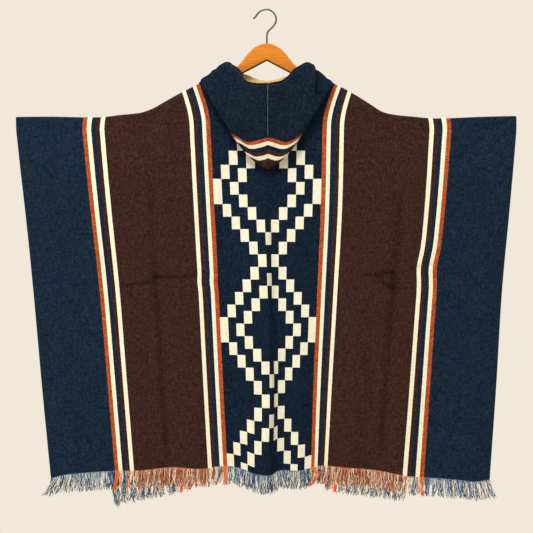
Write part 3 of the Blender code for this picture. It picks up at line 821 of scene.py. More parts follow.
def web_finish():
    """Warp-striped wool with stepped diamonds in its middle field, drawn on the cloth itself."""
    finish, tree, shader = new_finish("striped wool", 0.95, gloss=0.04)
    chart = cloth_chart(tree)
    stray = vector_sum(speckle(chart, 420.0, "Color", Detail=1.0), (-0.5, -0.5, -0.5))
    across, up, _ = split(vector_sum(chart, scaled(stray, STRAY)))
    aside = abs(across)
    striped = solid(FIELD_NAVY)
    for start, stripes, field in ((INNER_BAND, INNER_STRIPES, BROWN),
                                  (OUTER_BAND, OUTER_STRIPES, NAVY)):
        within = aside.calc("GREATER_THAN", start * MM)
        striped = laid_over(within, striped, band_colours(aside, start, stripes, field))

    column = abs((across / (COLUMN_PITCH * MM)).calc("ROUND"))
    rise = up.calc("GREATER_THAN", TOP_DIAMOND * MM) * (INNER_RISE * MM)
    inner_rows = diamond_rows(up - rise)
    outer_column = OUTER_CORNER - diamond_rows(up).calc("FLOOR")
    inner_column = INNER_CORNER - (inner_rows + 0.5).calc("FLOOR")
    inner_lit = column.calc("COMPARE", inner_column, 0.1) * inner_rows.calc("LESS_THAN", INNER_ROWS)
    lit = column.calc("COMPARE", outer_column, 0.1).calc("MAXIMUM", inner_lit)
    lit = lit * aside.calc("LESS_THAN", INNER_BAND * MM)
    colour = laid_over(lit, striped, solid(SQUARE_CREAM))
    dress_in_wool(shader, colour, chart, blotch=0.1, fuzz=0.7, raised=lit * 0.35)
    return finish


def cloth_mesh(name, grids, wall):
    """A shell of a given wall from grids joined where they meet. A grid has columns of (point,
    place on the chart, share of the wall, painted shade) and is given with whether its faces
    turn over.
    """
    mesh = bpy.data.meshes.new(name)
    bm = bmesh.new()
    chart = bm.loops.layers.uv.new("cloth")
    share = bm.verts.layers.float.new("share")
    # Painted shade of the creases and of the hood's tuck, which darkens the wool's colour
    painted_shade = bm.verts.layers.float.new("painted_shade")
    for grid, flip in grids:
        rows = [[bm.verts.new(corner[0] * MM) for corner in column] for column in grid]
        for made, column in zip(rows, grid):
            for vert, (_, _, part, shade_amount) in zip(made, column):
                vert[share] = part
                vert[painted_shade] = shade_amount
        for c in range(len(grid) - 1):
            for r in range(len(grid[0]) - 1):
                corners = [(c, r), (c, r + 1), (c + 1, r + 1), (c + 1, r)]
                corners = corners[::-1] if flip else corners
                face = bm.faces.new([rows[i][j] for i, j in corners])
                for loop, (i, j) in zip(face.loops, corners):
                    loop[chart].uv = [value * MM for value in grid[i][j][1]]
    bmesh.ops.remove_doubles(bm, verts=bm.verts, dist=MEETING * MM)
    bmesh.ops.recalc_face_normals(bm, faces=bm.faces)
    parts = [vert[share] for vert in bm.verts]
    bm.to_mesh(mesh)
    bm.free()
    guide = add_object(name + " middle", mesh)
    group = guide.vertex_groups.new(name="wall")
    for index, part in enumerate(parts):
        group.add([index], part, "REPLACE")
    shell = guide.modifiers.new("wall", "SOLIDIFY")
    shell.thickness = wall * MM
    shell.offset = 0.0
    shell.vertex_group = "wall"
    shell.thickness_vertex_group = 0.0
    return smooth(finished_mesh(name, guide))


web_places = spread(WEB_STRETCHES)


def selvedge_share(place):
    """The web thins to a rounded selvedge."""
    return SELVEDGE_SHARE if abs(place) > HALF_WEB - SELVEDGE else 1.0


def charted(places, columns):
    return [[(point, (place, up), selvedge_share(place), shade_amount) for point, up, shade_amount in column]
            for place, column in zip(places, columns)]


back_points = [back_column(place) for place in web_places]
front_points = front_columns(web_places)
web = add_piece("poncho_web", cloth_mesh("poncho_web", (
    (charted(web_places, back_points), True), (charted(web_places, front_points), False),
), CLOTH), web_finish())
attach(web, "root")
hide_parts("back_panel", "front_panel")

# ---------------------------------------------------------------- hood
# The hood is two mirrored halves of the same wool, sewn to the slit and to each other down the
# middle of the head. It hangs down the back like a bag, with its turned hem as the upper rim and
# the web's border stripes across its tip.
# Each section runs from the neck seam down to the fold at the bag's foot and up to the rim: those
# places, the way it turns at the fold in degrees, and how far its curve is drawn out at each.
Section = namedtuple(
    "Section", "seam fold turn right_rim left_rim rim_depth in_pull out_pull rim_pull roll")
HOOD = (
    Section((0, -20.9, -206), (0, -38, -405.5), 0, (0, -189.5), (0, -189.5), -60, 9, 12, 70, 0),
    Section((24, -20.9, -205.6), (26, -39.5, -391), 0, (14, -186.2), (17, -190.4),
            -60, 9, 12, 68, 0),
    Section((50, -20.8, -204.4), (49, -42, -370.5), 0, (30, -183), (36, -188.8),
            -59, 9, 12, 62, 0),
    Section((76, -20.4, -203), (73.5, -44, -340.5), 0, (43, -177), (53, -183.7),
            -57, 9, 12, 56, 0),
    Section((100, -19.9, -200), (99.5, -43, -300), 0, (57, -164), (61, -172.5),
            -53, 9, 12, 46, 0),
    Section((124, -17.4, -196), (129.5, -38, -251.5), 5, (71, -151.7), (66, -158.5),
            -46, 8, 11, 36, 0),
    Section((142, -15.6, -192), (150, -30, -217), 15, (86, -142), (79, -145.5),
            -36, 7, 10, 30, 2),
    Section((159, -13.8, -188), (164.5, -19, -195), 75, (101, -136), (98, -135.5),
            -22, 4, 8, 18, 6),
    Section((171, -11.8, -185.4), (168, -9, -181), 140, (106, -135), (104, -135), -9, 3, 7, 18, 8),
    Section((174, 2, -184), (167, 4, -179), 150, (107, -138), (105, -138), 2, 3, 7, 16, 7),
    Section((166, 14.0, -184.2), (157, 15, -172), 150, (101, -142), (100, -142), 12, 4, 7, 12, 3),
    Section((140, 17.2, -185), (131, 19, -166), 130, (90, -146), (89, -146), 18, 4, 6, 8, 0),
    Section((110, 20.6, -181), (101, 22, -164), 120, (78, -150), (77, -150), 22, 4, 4, 6, 0),
    Section((84, 22.6, -173), (78, 23, -161), 120, (68, -154), (68, -154), 23, 3, 3, 4, 0),
    Section((61, 23.0, -169), (61, 23, -163), 90, (60, -157), (60, -157), 23, 2, 2, 2, 0),
)
RIGHT_ROLL = 0.35         # share of its rim's roll that the right half has
ROLL_WAY = Vector((0.5, 0.0, 0.87))
HOOD_COLUMNS = 8          # from one section to the next
INNER_STEPS = 20
HOOD_GAP = 0.3            # between the halves, where they are sewn
SEAM_COLUMNS = (HOOD_GAP / 2, 0.5, 1.2, 3.0)    # distances of the first columns from the middle
# Rows of the outer face as shares of its curve. They stand close by the hem.
OUTER_SHARES = ([i / 26 * 0.88 for i in range(26)]
                + [0.88, 0.9, 0.92, 0.935, 0.95, 0.962, 0.974, 0.986, 0.995, 1.0])
HEM_WALL = 4.2            # the hem is the cloth turned over on itself
HEM_DEPTH = 7.5
HEM_EASE = 3.0            # stretch in which it thins to plain cloth
# Shares of that wall: plain cloth, what the groove of the stitches takes, the hem's edge and what
# is left beside the middle seam.
PLAIN_SHARE = 0.57
GROOVE_SHARE = 0.16
EDGE_SHARE = 0.55
SEAM_SHARE = 0.62
SEAM_REACH = 3.0
GROOVE_REACH = 1.6
EDGE_GROWTH = 0.3         # how fast the edge's share grows, to the millimetre from the rim
# The outer face is uneven, and creased as far as its neck, but not by the rim or at the fold.
UNEVEN = 1.6
UNEVEN_SCALE = 0.02
CALM_RIM = (2.0, 30.0)
CALM_FOLD = 6.0           # rows
CREASES_END = (-20.0, 20.0)
# How a section's curve leaves its seam, and how its rim is drawn out over the bag.
LEAVING = 0.35            # share of the way to the fold,
LEAVING_BACK = 0.2        # and how much of that in depth
BAG_DEPTH = -12.0         # sections sewn further out than this are the bag's,
RIM_DRAW = 2.0            # and their cloth stands this far out just below the rim
# Where the hood's outline lies at each height, on either side of its seam.
outline_at = smooth_line([(-405.5, 4), (-402, 14), (-391, 27), (-371, 50.5), (-341, 75),
                          (-300, 101), (-252, 131), (-217, 151.5), (-195, 166)])
# The border stripes sag beside the seam and rise towards the outline.
SAG_OUTLINE = 88.0
STRIPE_SAG = {
    1: smooth_line([(0, 0), (0.15, -4.2), (0.3, -8.1), (0.45, -12), (0.61, -13.5), (0.75, -11),
                    (0.845, -5), (0.91, 1.4), (0.957, 7), (1.0, 12)]),
    -1: smooth_line([(0, 0), (0.16, -5), (0.35, -9.5), (0.54, -13), (0.7, -11.7), (0.79, -5.6),
                     (0.88, 4), (0.96, 9), (1.0, 16)]),
}
SAG_AT_TOP = {1: 0.53, -1: 0.77}      # share of that sag in the uppermost stripe
SAG_START = -327.0
SAG_GROWTH = 13.0
# How far the hood's crest stands above or below an even roll, at each distance from the middle.
CREST = {
    1: smooth_line([(48, -2.2), (57, -2.2), (64, 0.6), (80, 0.4), (90, 0.8), (96, 1.4), (101, -0.4),
                    (106, -2.9), (111.5, -2.4), (117, -0.6), (120.5, -6.5), (123, -8), (125.5, -4),
                    (128, -2.2), (132, -1.8), (137, -2.5), (142, -4), (147, -5.8), (152, -8.6),
                    (157.5, -7.8), (162.5, -7.4), (168, -8), (174, -4)]),
    -1: smooth_line([(88, 0), (93, 2.6), (101, 1.6), (109, 2), (116, 2.2), (123, 0.2), (129, -3.2),
                     (137, -1.4), (143, -3.4), (149, -4.6), (158, -1.8), (166, 0), (172, 0)]),
}
CREST_DEPTH = {1: 30.0, -1: 10.0}     # how far forward that reaches, with its fall
CREST_FALL = 14.0
CREST_RISE = (-205.0, 30.0)           # and where it starts, with its rise
SEAM_SHIFT = 2.2          # the middle seam hangs a little to the right
SEAM_SHIFT_REACH = 55.0
# Soft creases of the hood, whose ends are (x, z).
HOOD_CREASES = (
    ((70, -165), (95, -260), 12, 2.0, 0.04), ((-66, -170), (-100, -265), 14, 2.0, 0.04),
    ((30, -215), (18, -330), 16, 1.6, 0.03), ((-36, -215), (-24, -335), 16, 1.6, 0.03),
    ((-110, -160), (-140, -230), 9, 1.6, 0.04), ((60, -250), (88, -312), 10, -1.5, 0.0),
    ((-58, -255), (-86, -315), 10, -1.5, 0.0),
)
# By its right shoulder the hood doubles under itself. From the tuck's start its cloth stands up
# before its line and drops behind it, more and more above its foot.
TUCK_START = 84.0
TUCK_X = 122.5
TUCK_END = 162.5
TUCK_RUN = 30.0
TUCK_EDGE = 2.5
TUCK_LIFT = 6.0
TUCK_DROP = 8.0
TUCK_FOOT = -234.0
TUCK_RISE = 36.0
# How much painted shadow darkens the wool by its edge, how that fades before and past its
# edge, and its own foot and rise.
TUCK_SHADE = 0.45
SHADE_BEFORE = 3.0
SHADE_PAST = 9.0
SHADE_FOOT = -232.0
SHADE_RISE = 24.0


def bezier(a, b, c, d, t):
    u = 1.0 - t
    return a * u ** 3 + b * (3 * u * u * t) + c * (3 * u * t * t) + d * t ** 3


def hood_section(section, side):
    """Points of one section from its neck seam down to the fold and up to the rim."""
    seam = Vector(section.seam)
    fold = Vector(section.fold)
    rim_x, rim_z = section.right_rim if side > 0 else section.left_rim
    rim = Vector((rim_x, section.rim_depth, rim_z))
    out = Vector((fold.x - seam.x, fold.y - seam.y, 0.0)).normalized()
    angle = math.radians(section.turn)
    heading = out * math.cos(angle) + Vector((0.0, 0.0, math.sin(angle)))
    leave = (fold - seam) * LEAVING
    leave.y = min(0.0, leave.y * LEAVING_BACK) if seam.y < 0 else leave.y
    below = rim + (fold - rim).normalized() * section.rim_pull
    below += ROLL_WAY * section.roll * (RIGHT_ROLL if side > 0 else 1.0)
    below.y = rim.y - RIM_DRAW if seam.y < BAG_DEPTH else below.y
    points = [bezier(seam, seam + leave, fold - heading * section.in_pull, fold, i / INNER_STEPS)
              for i in range(INNER_STEPS)]
    points += [bezier(fold, fold + heading * section.out_pull, below, rim, t)
               for t in OUTER_SHARES]
    return points


def hood_points(side):
    """Columns of the hood half, from the centre seam round to the front of the neck."""
    sections = [hood_section(section, side) for section in HOOD]
    rows = range(len(sections[0]))
    lines = [[smooth_line(enumerate(section[row][axis] for section in sections))
              for axis in range(3)] for row in rows]
    columns = []
    for flat in SEAM_COLUMNS:
        columns.append([Vector((flat, point.y, point.z)) for point in sections[0]])
    for step in range(1, (len(HOOD) - 1) * HOOD_COLUMNS + 1):
        spot = step / HOOD_COLUMNS
        columns.append([Vector([line(spot) for line in line_of_row]) for line_of_row in lines])
    return [[Vector((side * point.x, point.y, point.z)) for point in column] for column in columns]


def grid_normals(columns):
    """The way the surface faces at each point of a grid."""
    last_c, last_r = len(columns) - 1, len(columns[0]) - 1
    result = []
    for c in range(len(columns)):
        row_normals = []
        for r in range(len(columns[0])):
            across = columns[min(last_c, c + 1)][r] - columns[max(0, c - 1)][r]
            down = columns[c][min(last_r, r + 1)] - columns[c][max(0, r - 1)]
            row_normals.append(across.cross(down).normalized())
        result.append(row_normals)
    return result


def stripe_sag(side, share, height):
    """How far the border stripes hang below their place at the seam, less so in the upper ones."""
    sag = STRIPE_SAG[side](share)
    if sag < 0.0:
        sag *= partway(SAG_AT_TOP[side], 1.0, ease((SAG_START - height) / SAG_GROWTH))
    return sag


def chart_height(side, point):
    """Height of a point on the hood's own chart, where its border stripes run level."""
    width = outline_at(point.z)
    share = min(1.0, abs(point.x) / width)
    return point.z - stripe_sag(side, share, point.z) * width / SAG_OUTLINE


def tuck_at(point):
    """How far the tuck lifts the right half's cloth at a point, and its painted shadow there."""
    before = ease((TUCK_X - point.x) / TUCK_EDGE + 0.5)
    lift = TUCK_LIFT * before * ease((point.x - TUCK_START) / TUCK_RUN)
    lift -= TUCK_DROP * (1.0 - before) * ease((TUCK_END - point.x) / TUCK_RUN)
    past = point.x - TUCK_X - TUCK_EDGE
    shade = bell(past, SHADE_BEFORE) if past < 0.0 else math.exp(-past / SHADE_PAST)
    return (lift * ease((point.z - TUCK_FOOT) / TUCK_RISE),
            TUCK_SHADE * shade * ease((point.z - SHADE_FOOT) / SHADE_RISE))


def outer_face(side, point, from_rim, from_fold):
    """Lift, share of the wall and painted shade at a point of the hood's outer face."""
    behind = 1.0 - rise_from(point.y, *CREASES_END)
    away = rise_from(from_rim, *CALM_RIM) * ease(from_fold / CALM_FOLD)
    sunk, painted_shade = crease_at(HOOD_CREASES, point.x, point.z)
    spot = Vector((point.x * UNEVEN_SCALE, point.z * UNEVEN_SCALE, side * 5.0))
    lift = noise.noise(spot) * UNEVEN * away - sunk * away * behind
    if side > 0:
        tuck, shade = tuck_at(point)
        lift += tuck * behind
        # the tuck's painted shadow
        painted_shade += shade
    part = partway(PLAIN_SHARE, 1.0, ease((HEM_DEPTH + HEM_EASE / 2 - from_rim) / HEM_EASE))
    part -= GROOVE_SHARE * bell(from_rim - HEM_DEPTH, GROOVE_REACH)
    return lift, min(part, EDGE_SHARE + from_rim * EDGE_GROWTH), painted_shade


def shaped_hood(side):
    """The half with its creases and hem, its stripes' chart and its wall, ready to be a shell."""
    columns = hood_points(side)
    grid = []
    for column, facing in zip(columns, grid_normals(columns)):
        to_rim = [0.0]
        for a, b in zip(reversed(column), reversed(column[:-1])):
            to_rim.append(to_rim[-1] + (b - a).length)
        to_rim.reverse()
        made = []
        for row, point in enumerate(column):
            lift, part, painted_shade = 0.0, PLAIN_SHARE, 0.0
            band = chart_height(side, column[max(row, INNER_STEPS)])
            if row >= INNER_STEPS:
                lift, part, painted_shade = outer_face(side, point, to_rim[row], row - INNER_STEPS)
            else:
                band -= to_rim[row] - to_rim[INNER_STEPS]
            if abs(point.x) < SEAM_REACH + 0.5:
                part *= partway(SEAM_SHARE, 1.0, ease(abs(point.x) / SEAM_REACH))
            spot = point + facing[row] * side * lift
            crest = rise_from(point.z, *CREST_RISE)
            crest *= ease((CREST_DEPTH[side] - point.y) / CREST_FALL)
            spot.z += CREST[side](abs(point.x)) * crest
            spot.x += SEAM_SHIFT * bell(point.x, SEAM_SHIFT_REACH)
            made.append((spot, (point.x, band), part, painted_shade))
        grid.append(made)
    return grid


HOOD_NAVY = srgb(6, 21, 36)
TIP_TOP = -327.0          # upper edge of the border stripes at the seam
TIP_RUST = srgb(136, 60, 30)
TIP_CREAM = srgb(194, 189, 168)
TIP_STRIPES = ((8.4, TIP_RUST), (10.2, TIP_CREAM), (11.2, HOOD_NAVY), (11.0, BROWN),
               (11.0, TIP_CREAM))
TIP_REACH = 100.0         # height of the ramp that holds them
TIP_START = 0.1           # share of that ramp above them
TIP_STRAY = 0.0016        # metres by which their edges stray


def hood_finish():
    """The same wool, in navy, with the web's border stripes across the tip."""
    finish, tree, shader = new_finish("hood wool", 0.95, gloss=0.04)
    chart = cloth_chart(tree)
    stray = speckle(place_on(tree), 260.0, Detail=1.0) - 0.5
    drop = TIP_TOP * MM - split(chart)[1] + stray * TIP_STRAY
    steps = [(0.0, HOOD_NAVY)]
    start = TIP_START
    for width, colour in TIP_STRIPES:
        steps.append((start, colour))
        start += width / TIP_REACH
    share = drop / (TIP_REACH * MM) + TIP_START
    stripes = tone_ramp(share, [*steps, (start, BROWN)], "CONSTANT")
    dress_in_wool(shader, stripes, chart, blotch=0.22, fuzz=0.8, raised=0.0)
    return finish


hood_wool = hood_finish()
hood_grids = {}
for hood_name, hood_node, hood_side in (("hood_half_right", "hood_right", 1),
                                        ("hood_half_left", "hood_left", -1)):
    hood_grids[hood_side] = shaped_hood(hood_side)
    half = add_piece(hood_name, cloth_mesh(
        hood_name, ((hood_grids[hood_side], hood_side > 0),), HEM_WALL), hood_wool)
    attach(half, "root")
    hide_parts(hood_node)

# ---------------------------------------------------------------- hood stitching
# A line of small running stitches holds the turned hem, and paler overcast stitches join the two
# halves down the middle seam. Both are wool yarn.
HEM_STITCH = {"Step": 5.2, "Length": 2.7, "Gauge": 1.0}
SEAM_STITCH = {"Step": 3.4, "Length": 3.0, "Gauge": 0.6}
SEAM_SLANT = 0.35         # radians
STITCH_POINTS = 5
STITCH_SIDES = 6
STITCH_TIP = 0.3          # share of the yarn's thickness at a stitch's tips
HEM_SEAT = 0.36           # how far out the stitches lie: a share of the hem's wall,
SEAM_SEAT = 0.9           # and millimetres over the seam


def new_tree(name, sizes, counts=()):
    """A geometry tree with a named input for each size and count, and one for its material."""
    tree = bpy.data.node_groups.new(name, "GeometryNodeTree")
    tree.interface.new_socket("Geometry", in_out="OUTPUT", socket_type="NodeSocketGeometry")
    for names, kind in ((("Geometry",), "Geometry"), (sizes, "Float"), (counts, "Int"),
                        (("Material",), "Material")):
        for label in names:
            tree.interface.new_socket(label, in_out="INPUT", socket_type="NodeSocket" + kind)
    return tree, {item.name: Wire(item) for item in tree.nodes.new("NodeGroupInput").outputs}


def end_tree(tree, given, shape):
    """The shape, made real, smooth and in its material, is the tree's result."""
    real = wire(tree, "GeometryNodeRealizeInstances", {0: shape})
    soft = wire(tree, "GeometryNodeSetShadeSmooth", {0: real})
    painted = wire(tree, "GeometryNodeSetMaterial",
                   {"Geometry": soft, "Material": given["Material"]})
    add_node(tree, "NodeGroupOutput", {0: painted})
    return tree


def yarn_line(tree, start, end, points):
    """A straight end of yarn with so many points."""
    line = wire(tree, "GeometryNodeCurvePrimitiveLine", {"Start": start, "End": end})
    return wire(tree, "GeometryNodeResampleCurve", {"Curve": line, "Count": points})


def swept(curve, gauge, sides, share=None):
    """A closed tube of a gauge, or of a share of it at each place, along a curve."""
    tree = curve.tree
    if share:
        curve = wire(tree, "GeometryNodeSetCurveRadius", {"Curve": curve, "Radius": share})
    ring = wire(tree, "GeometryNodeCurvePrimitiveCircle",
                {"Resolution": sides, "Radius": gauge * 0.5})
    return wire(tree, "GeometryNodeCurveToMesh",
                {"Curve": curve, "Profile Curve": ring, "Fill Caps": True})


def grow(name, mesh, tree, sizes, others):
    """The tree's result on a mesh as a named piece, from its sizes and its other inputs."""
    guide = add_object(name + " guide", mesh)
    step = guide.modifiers.new("make", "NODES")
    step.node_group = tree
    values = {size: value * MM for size, value in sizes.items()} | others
    for item in tree.interface.items_tree:
        if item.item_type == "SOCKET" and item.in_out == "INPUT" and item.name in values:
            step[item.identifier] = values[item.name]
    return add_object(name, finished_mesh(name, guide))


def stitch_tree():
    """Rounded stitches at even steps along a line."""
    tree, given = new_tree("stitches along a line", ("Step", "Length", "Gauge", "Slant"))
    line = wire(tree, "GeometryNodeMeshToCurve", {"Mesh": given["Geometry"]})
    steps = add_node(tree, "GeometryNodeCurveToPoints", {"Curve": line, "Length": given["Step"]},
                     mode="LENGTH").outputs
    half = given["Length"] * 0.5
    yarn = yarn_line(tree, vector(tree, Z=half * -1.0), vector(tree, Z=half), STITCH_POINTS)
    along = wire(tree, "GeometryNodeSplineParameter", output="Factor")
    arch = (along * math.pi).calc("SINE").calc("MULTIPLY_ADD", 1.0 - STITCH_TIP, STITCH_TIP)
    turned = wire(tree, "FunctionNodeRotateRotation", {
        "Rotation": Wire(steps["Rotation"]), "Rotate By": vector(tree, Y=given["Slant"])},
        rotation_space="LOCAL")
    placed = wire(tree, "GeometryNodeInstanceOnPoints", {
        "Points": Wire(steps["Points"]), "Rotation": turned,
        "Instance": swept(yarn, given["Gauge"], STITCH_SIDES, arch)})
    return end_tree(tree, given, placed)


def yarn_finish(name, colour):
    """Plied wool sewing yarn."""
    finish, tree, shader = new_finish(name, 0.9, sheen=0.04, gloss=0.1)
    place = place_on(tree)
    tone = toned(solid(colour), heather(place, 600.0, 0.75, 1.25))
    cover(shader, tone, heather(place, 1500.0, 0.0, 1.0), 0.0002)
    return finish


def line_mesh(name, chains):
    """Loose lines of points, one for each chain."""
    mesh = bpy.data.meshes.new(name)
    points, edges = [], []
    for chain in chains:
        edges += [(len(points) + i, len(points) + i + 1) for i in range(len(chain) - 1)]
        points += [point * MM for point in chain]
    mesh.from_pydata(points, edges, [])
    return mesh


def hem_line(side):
    """The stitch line under the hood half's rim, on its outer face."""
    points = [[corner[0] for corner in column] for column in hood_grids[side]]
    chain = []
    for column, facing in zip(points, grid_normals(points)):
        left = HEM_DEPTH
        for row in range(len(column) - 1, INNER_STEPS, -1):
            step = (column[row] - column[row - 1]).length
            if step >= left:
                share = left / step
                spot = column[row].lerp(column[row - 1], share)
                chain.append(spot + facing[row] * side * (HEM_WALL * HEM_SEAT))
                break
            left -= step
    return chain


def seam_line():
    """Down the middle seam from the rim to the border stripes, on its outer face."""
    column = [corner[0] for corner in hood_grids[1][0]][:INNER_STEPS - 1:-1]
    return [Vector((point.x - HOOD_GAP / 2, point.y - SEAM_SEAT, point.z)) for point in column[1:]
            if point.z > TIP_TOP]


stitches = stitch_tree()
hem_yarn = yarn_finish("hem yarn", srgb(56, 74, 100))
seam_yarn = yarn_finish("seam yarn", srgb(111, 117, 127))
hem_stitches = grow("hood_hem_stitches", line_mesh("hem line", [hem_line(1), hem_line(-1)]),
                    stitches, HEM_STITCH, {"Slant": 0.0, "Material": hem_yarn})
seam_stitches = grow("hood_seam_stitches", line_mesh("seam line", [seam_line()]),
                     stitches, SEAM_STITCH, {"Slant": SEAM_SLANT, "Material": seam_yarn})
for sewn in (hem_stitches, seam_stitches):
    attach(sewn, "root")

# ---------------------------------------------------------------- neck facing
# A golden tan twill tape is sewn along the inside of the neck's front edge.
FACING = 1.2
FACING_REACH = 62.0
FACING_HEIGHT = 26.0
FACING_INSET = CLOTH / 2 + 0.5 + FACING / 2
FACING_RISE = 0.6         # of its upper edge over the slit's
FACING_STEPS = 28
FACING_ROWS = 7
TWILL_RIB = 0.0012        # metres from one rib to the next
TWILL_SLOPE = 1.6


def facing_finish():
    """Cotton twill with a slanting rib."""
    finish, tree, shader = new_finish("facing twill", 0.82, gloss=0.2)
    across, up, _ = split(cloth_chart(tree))
    rib = ((across + up * TWILL_SLOPE) * (math.pi / TWILL_RIB)).calc("SINE")
    tone = toned(solid(srgb(234, 192, 124)), heather(place_on(tree), 160.0, 0.86, 1.12))
    cover(shader, tone, abs(rib), 0.0003)
    return finish


facing_grid = []
for facing_step in range(FACING_STEPS + 1):
    facing_x = FACING_REACH * (2.0 * facing_step / FACING_STEPS - 1.0)
    facing_depth = neck_at["front"][0](abs(facing_x)) - FACING_INSET
    facing_top = neck_height(facing_x, "front") + FACING_RISE
    facing_drops = [FACING_HEIGHT * row / FACING_ROWS for row in range(FACING_ROWS + 1)]
    facing_grid.append([(Vector((facing_x, facing_depth, facing_top - drop)),
                         (facing_x, -drop), 1.0, 0.0) for drop in facing_drops])
facing = add_piece("neck_facing_tape", cloth_mesh("neck_facing_tape", ((facing_grid, False),),
                                                  FACING), facing_finish())
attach(facing, "root")
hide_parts("neck_facing")

# ---------------------------------------------------------------- fringes
# Below each hem a twined cord holds the weft, and the warp ends hang from it as loose fringe. Fine
# coloured and pale ends hang together, and the rust stripes end in bright orange locks.
END_STEP = 1.08           # from one warp end to the next
END_POINTS = 7
END_SIDES = 4
CORD_STEP = 3.0
CORD_SIDES = 8
BELOW_HEM = 1.0           # the cord and the ends' roots lie this far under the web's edge,
ROOT_STRAY = 1.0          # and the roots stray to its front and back
END_SIZES = {"Gauge": 1.8, "Curl": 2.8, "Cord": 2.6}
LEAN_POWER = 1.4          # an end leans more and more down its length
CURL_TURNS = (7.0, 5.0)   # radians of its curl, to the side and in depth
PHASES = (0.0, 6.28)      # and where that begins
TAPER = 0.55              # share of its thickness that is gone at its tip
TAPER_POWER = 3.0
LOCK_ENDS = 6             # ends that lean together
# Greatest lean of a lock and, over that, of one end, and the greatest bend of an end: to the side
# and in depth.
LOCK_LEAN = (7.0, 4.0)
END_LEAN = (5.5, 2.5)
END_BEND = (4.0, 2.0)
END_SHORT = (-0.06, 0.2)  # how much shorter an end may be, as a share of its length
SPLAY_SHARES = (0.2, 1.4)  # how much of the corner's splay one end has
# Orange locks draw together and hang a little forward.
ORANGE_DRAW = 0.45
ORANGE_LEAN = 1.2
ORANGE_DEPTHS = (-2.5, 0.0)
ORANGE_FORWARD = -2.0
ORANGE_BEND = (0.6, -1.5)
ORANGE_SHORT = (-0.06, 0.06)
CREAM_SHARE = 0.55        # share of cream ends below a cream stripe
# Ends by the web's corners lean outward, from a place on and over a reach.
Splay = namedtuple("Splay", "start reach lean")
LEFT_SPLAY = Splay(560.0, 70.0, 20.0)
RIGHT_SPLAY = Splay(470.0, 150.0, 13.0)


def palette(*tones):
    return [srgb(*tone) for tone in tones]


BLUES = palette((52, 82, 116), (66, 98, 132), (88, 118, 146), (34, 56, 86), (70, 104, 138))
BROWNS = palette((150, 78, 48), (168, 94, 62), (178, 118, 90), (124, 60, 38), (160, 84, 54))
PALES = palette((190, 185, 170), (202, 194, 174), (170, 170, 162), (194, 185, 160))
WARM_PALES = palette((206, 178, 154), (214, 192, 168), (190, 158, 136), (212, 198, 178))
ORANGES = palette((212, 104, 52), (204, 92, 42))
CREAMS = palette((214, 204, 176), (204, 186, 150))
CORD_TONES = {"rust": ORANGES[1], "cream": CREAMS[1], "brown": srgb(140, 80, 58),
              "navy": srgb(78, 102, 134)}


def stripe_name(place):
    """Which stripe a place on the web lies in."""
    aside = abs(place)
    for edge, stripes in ((INNER_BAND, INNER_STRIPES), (OUTER_BAND, OUTER_STRIPES)):
        for width, name in stripes:
            if edge <= aside < edge + width:
                return name
            edge += width
    return "brown" if INNER_BAND < aside < OUTER_BAND else "navy"


def end_colour(place, pale_share, draw):
    """The colour of one warp end below the hem."""
    name = stripe_name(place)
    if name == "rust":
        return draw.choice(ORANGES)
    if name == "cream":
        return draw.choice(CREAMS if draw.random() < CREAM_SHARE else WARM_PALES + BROWNS)
    if draw.random() < pale_share:
        return draw.choice(PALES if name == "navy" else WARM_PALES)
    return draw.choice(BLUES if name == "navy" else BROWNS)


def stripe_middle(place):
    """The middle of the rust stripe that a place lies in."""
    outer = OUTER_BAND + (len(OUTER_STRIPES) - 1) * RUST_STRIPE
    start = INNER_BAND if abs(place) < OUTER_BAND else outer
    return math.copysign(start + RUST_STRIPE / 2, place)


def fringe_tree():
    """Loose ends hung from roots, each with its own lean and curl, under a cord along the hem."""
    tree, given = new_tree("fringe", ("Gauge", "Length", "Curl", "Cord"), ("Points",))

    def named(name, kind="FLOAT"):
        return wire(tree, "GeometryNodeInputNamedAttribute", {"Name": name}, "Attribute",
                    data_type=kind)

    parts = add_node(tree, "GeometryNodeSeparateGeometry", {
        "Geometry": given["Geometry"], "Selection": named("root").calc("GREATER_THAN", 0.5)},
        domain="POINT").outputs
    yarn = yarn_line(tree, (0.0, 0.0, 0.0), vector(tree, Z=given["Length"] * -1.0), given["Points"])
    hung = wire(tree, "GeometryNodeInstanceOnPoints", {"Points": Wire(parts[0]), "Instance": yarn})
    hung = wire(tree, "GeometryNodeRealizeInstances", {0: hung})
    down = wire(tree, "GeometryNodeSplineParameter", output="Factor")
    lean = scaled(named("lean", "FLOAT_VECTOR"), down ** LEAN_POWER)
    bend = scaled(named("bend", "FLOAT_VECTOR"), (down * math.pi).calc("SINE"))
    phase = named("phase")
    swing = given["Curl"] * down
    to_side, to_back = [down.calc("MULTIPLY_ADD", turns, phase) for turns in CURL_TURNS]
    curl = vector(tree, X=swing * to_side.calc("SINE"), Y=swing * to_back.calc("COSINE"),
                  Z=given["Length"] * down * named("short"))
    moved = wire(tree, "GeometryNodeSetPosition", {
        "Geometry": hung, "Offset": vector_sum(vector_sum(lean, bend), curl)})
    ends = swept(moved, given["Gauge"], END_SIDES, 1.0 - down ** TAPER_POWER * TAPER)
    hem = wire(tree, "GeometryNodeMeshToCurve", {"Mesh": Wire(parts[1])})
    both = tree.nodes.new("GeometryNodeJoinGeometry")
    for tube in (ends, swept(hem, given["Cord"], CORD_SIDES)):
        tree.links.new(tube.socket, both.inputs[0])
    return end_tree(tree, given, Wire(both.outputs[0]))


def fringe_finish():
    """Loose wool ends, each in its own colour, a little uneven along its length."""
    finish, tree, shader = new_finish("fringe wool", 0.95, sheen=0.05, gloss=0.1)
    colour = wire(tree, "ShaderNodeAttribute", output="Color", attribute_name="yarn")
    place = place_on(tree)
    tone = toned(colour, heather(place, 300.0, 0.8, 1.2))
    cover(shader, tone, heather(place, 1400.0, 0.0, 1.0), 0.0003)
    return finish


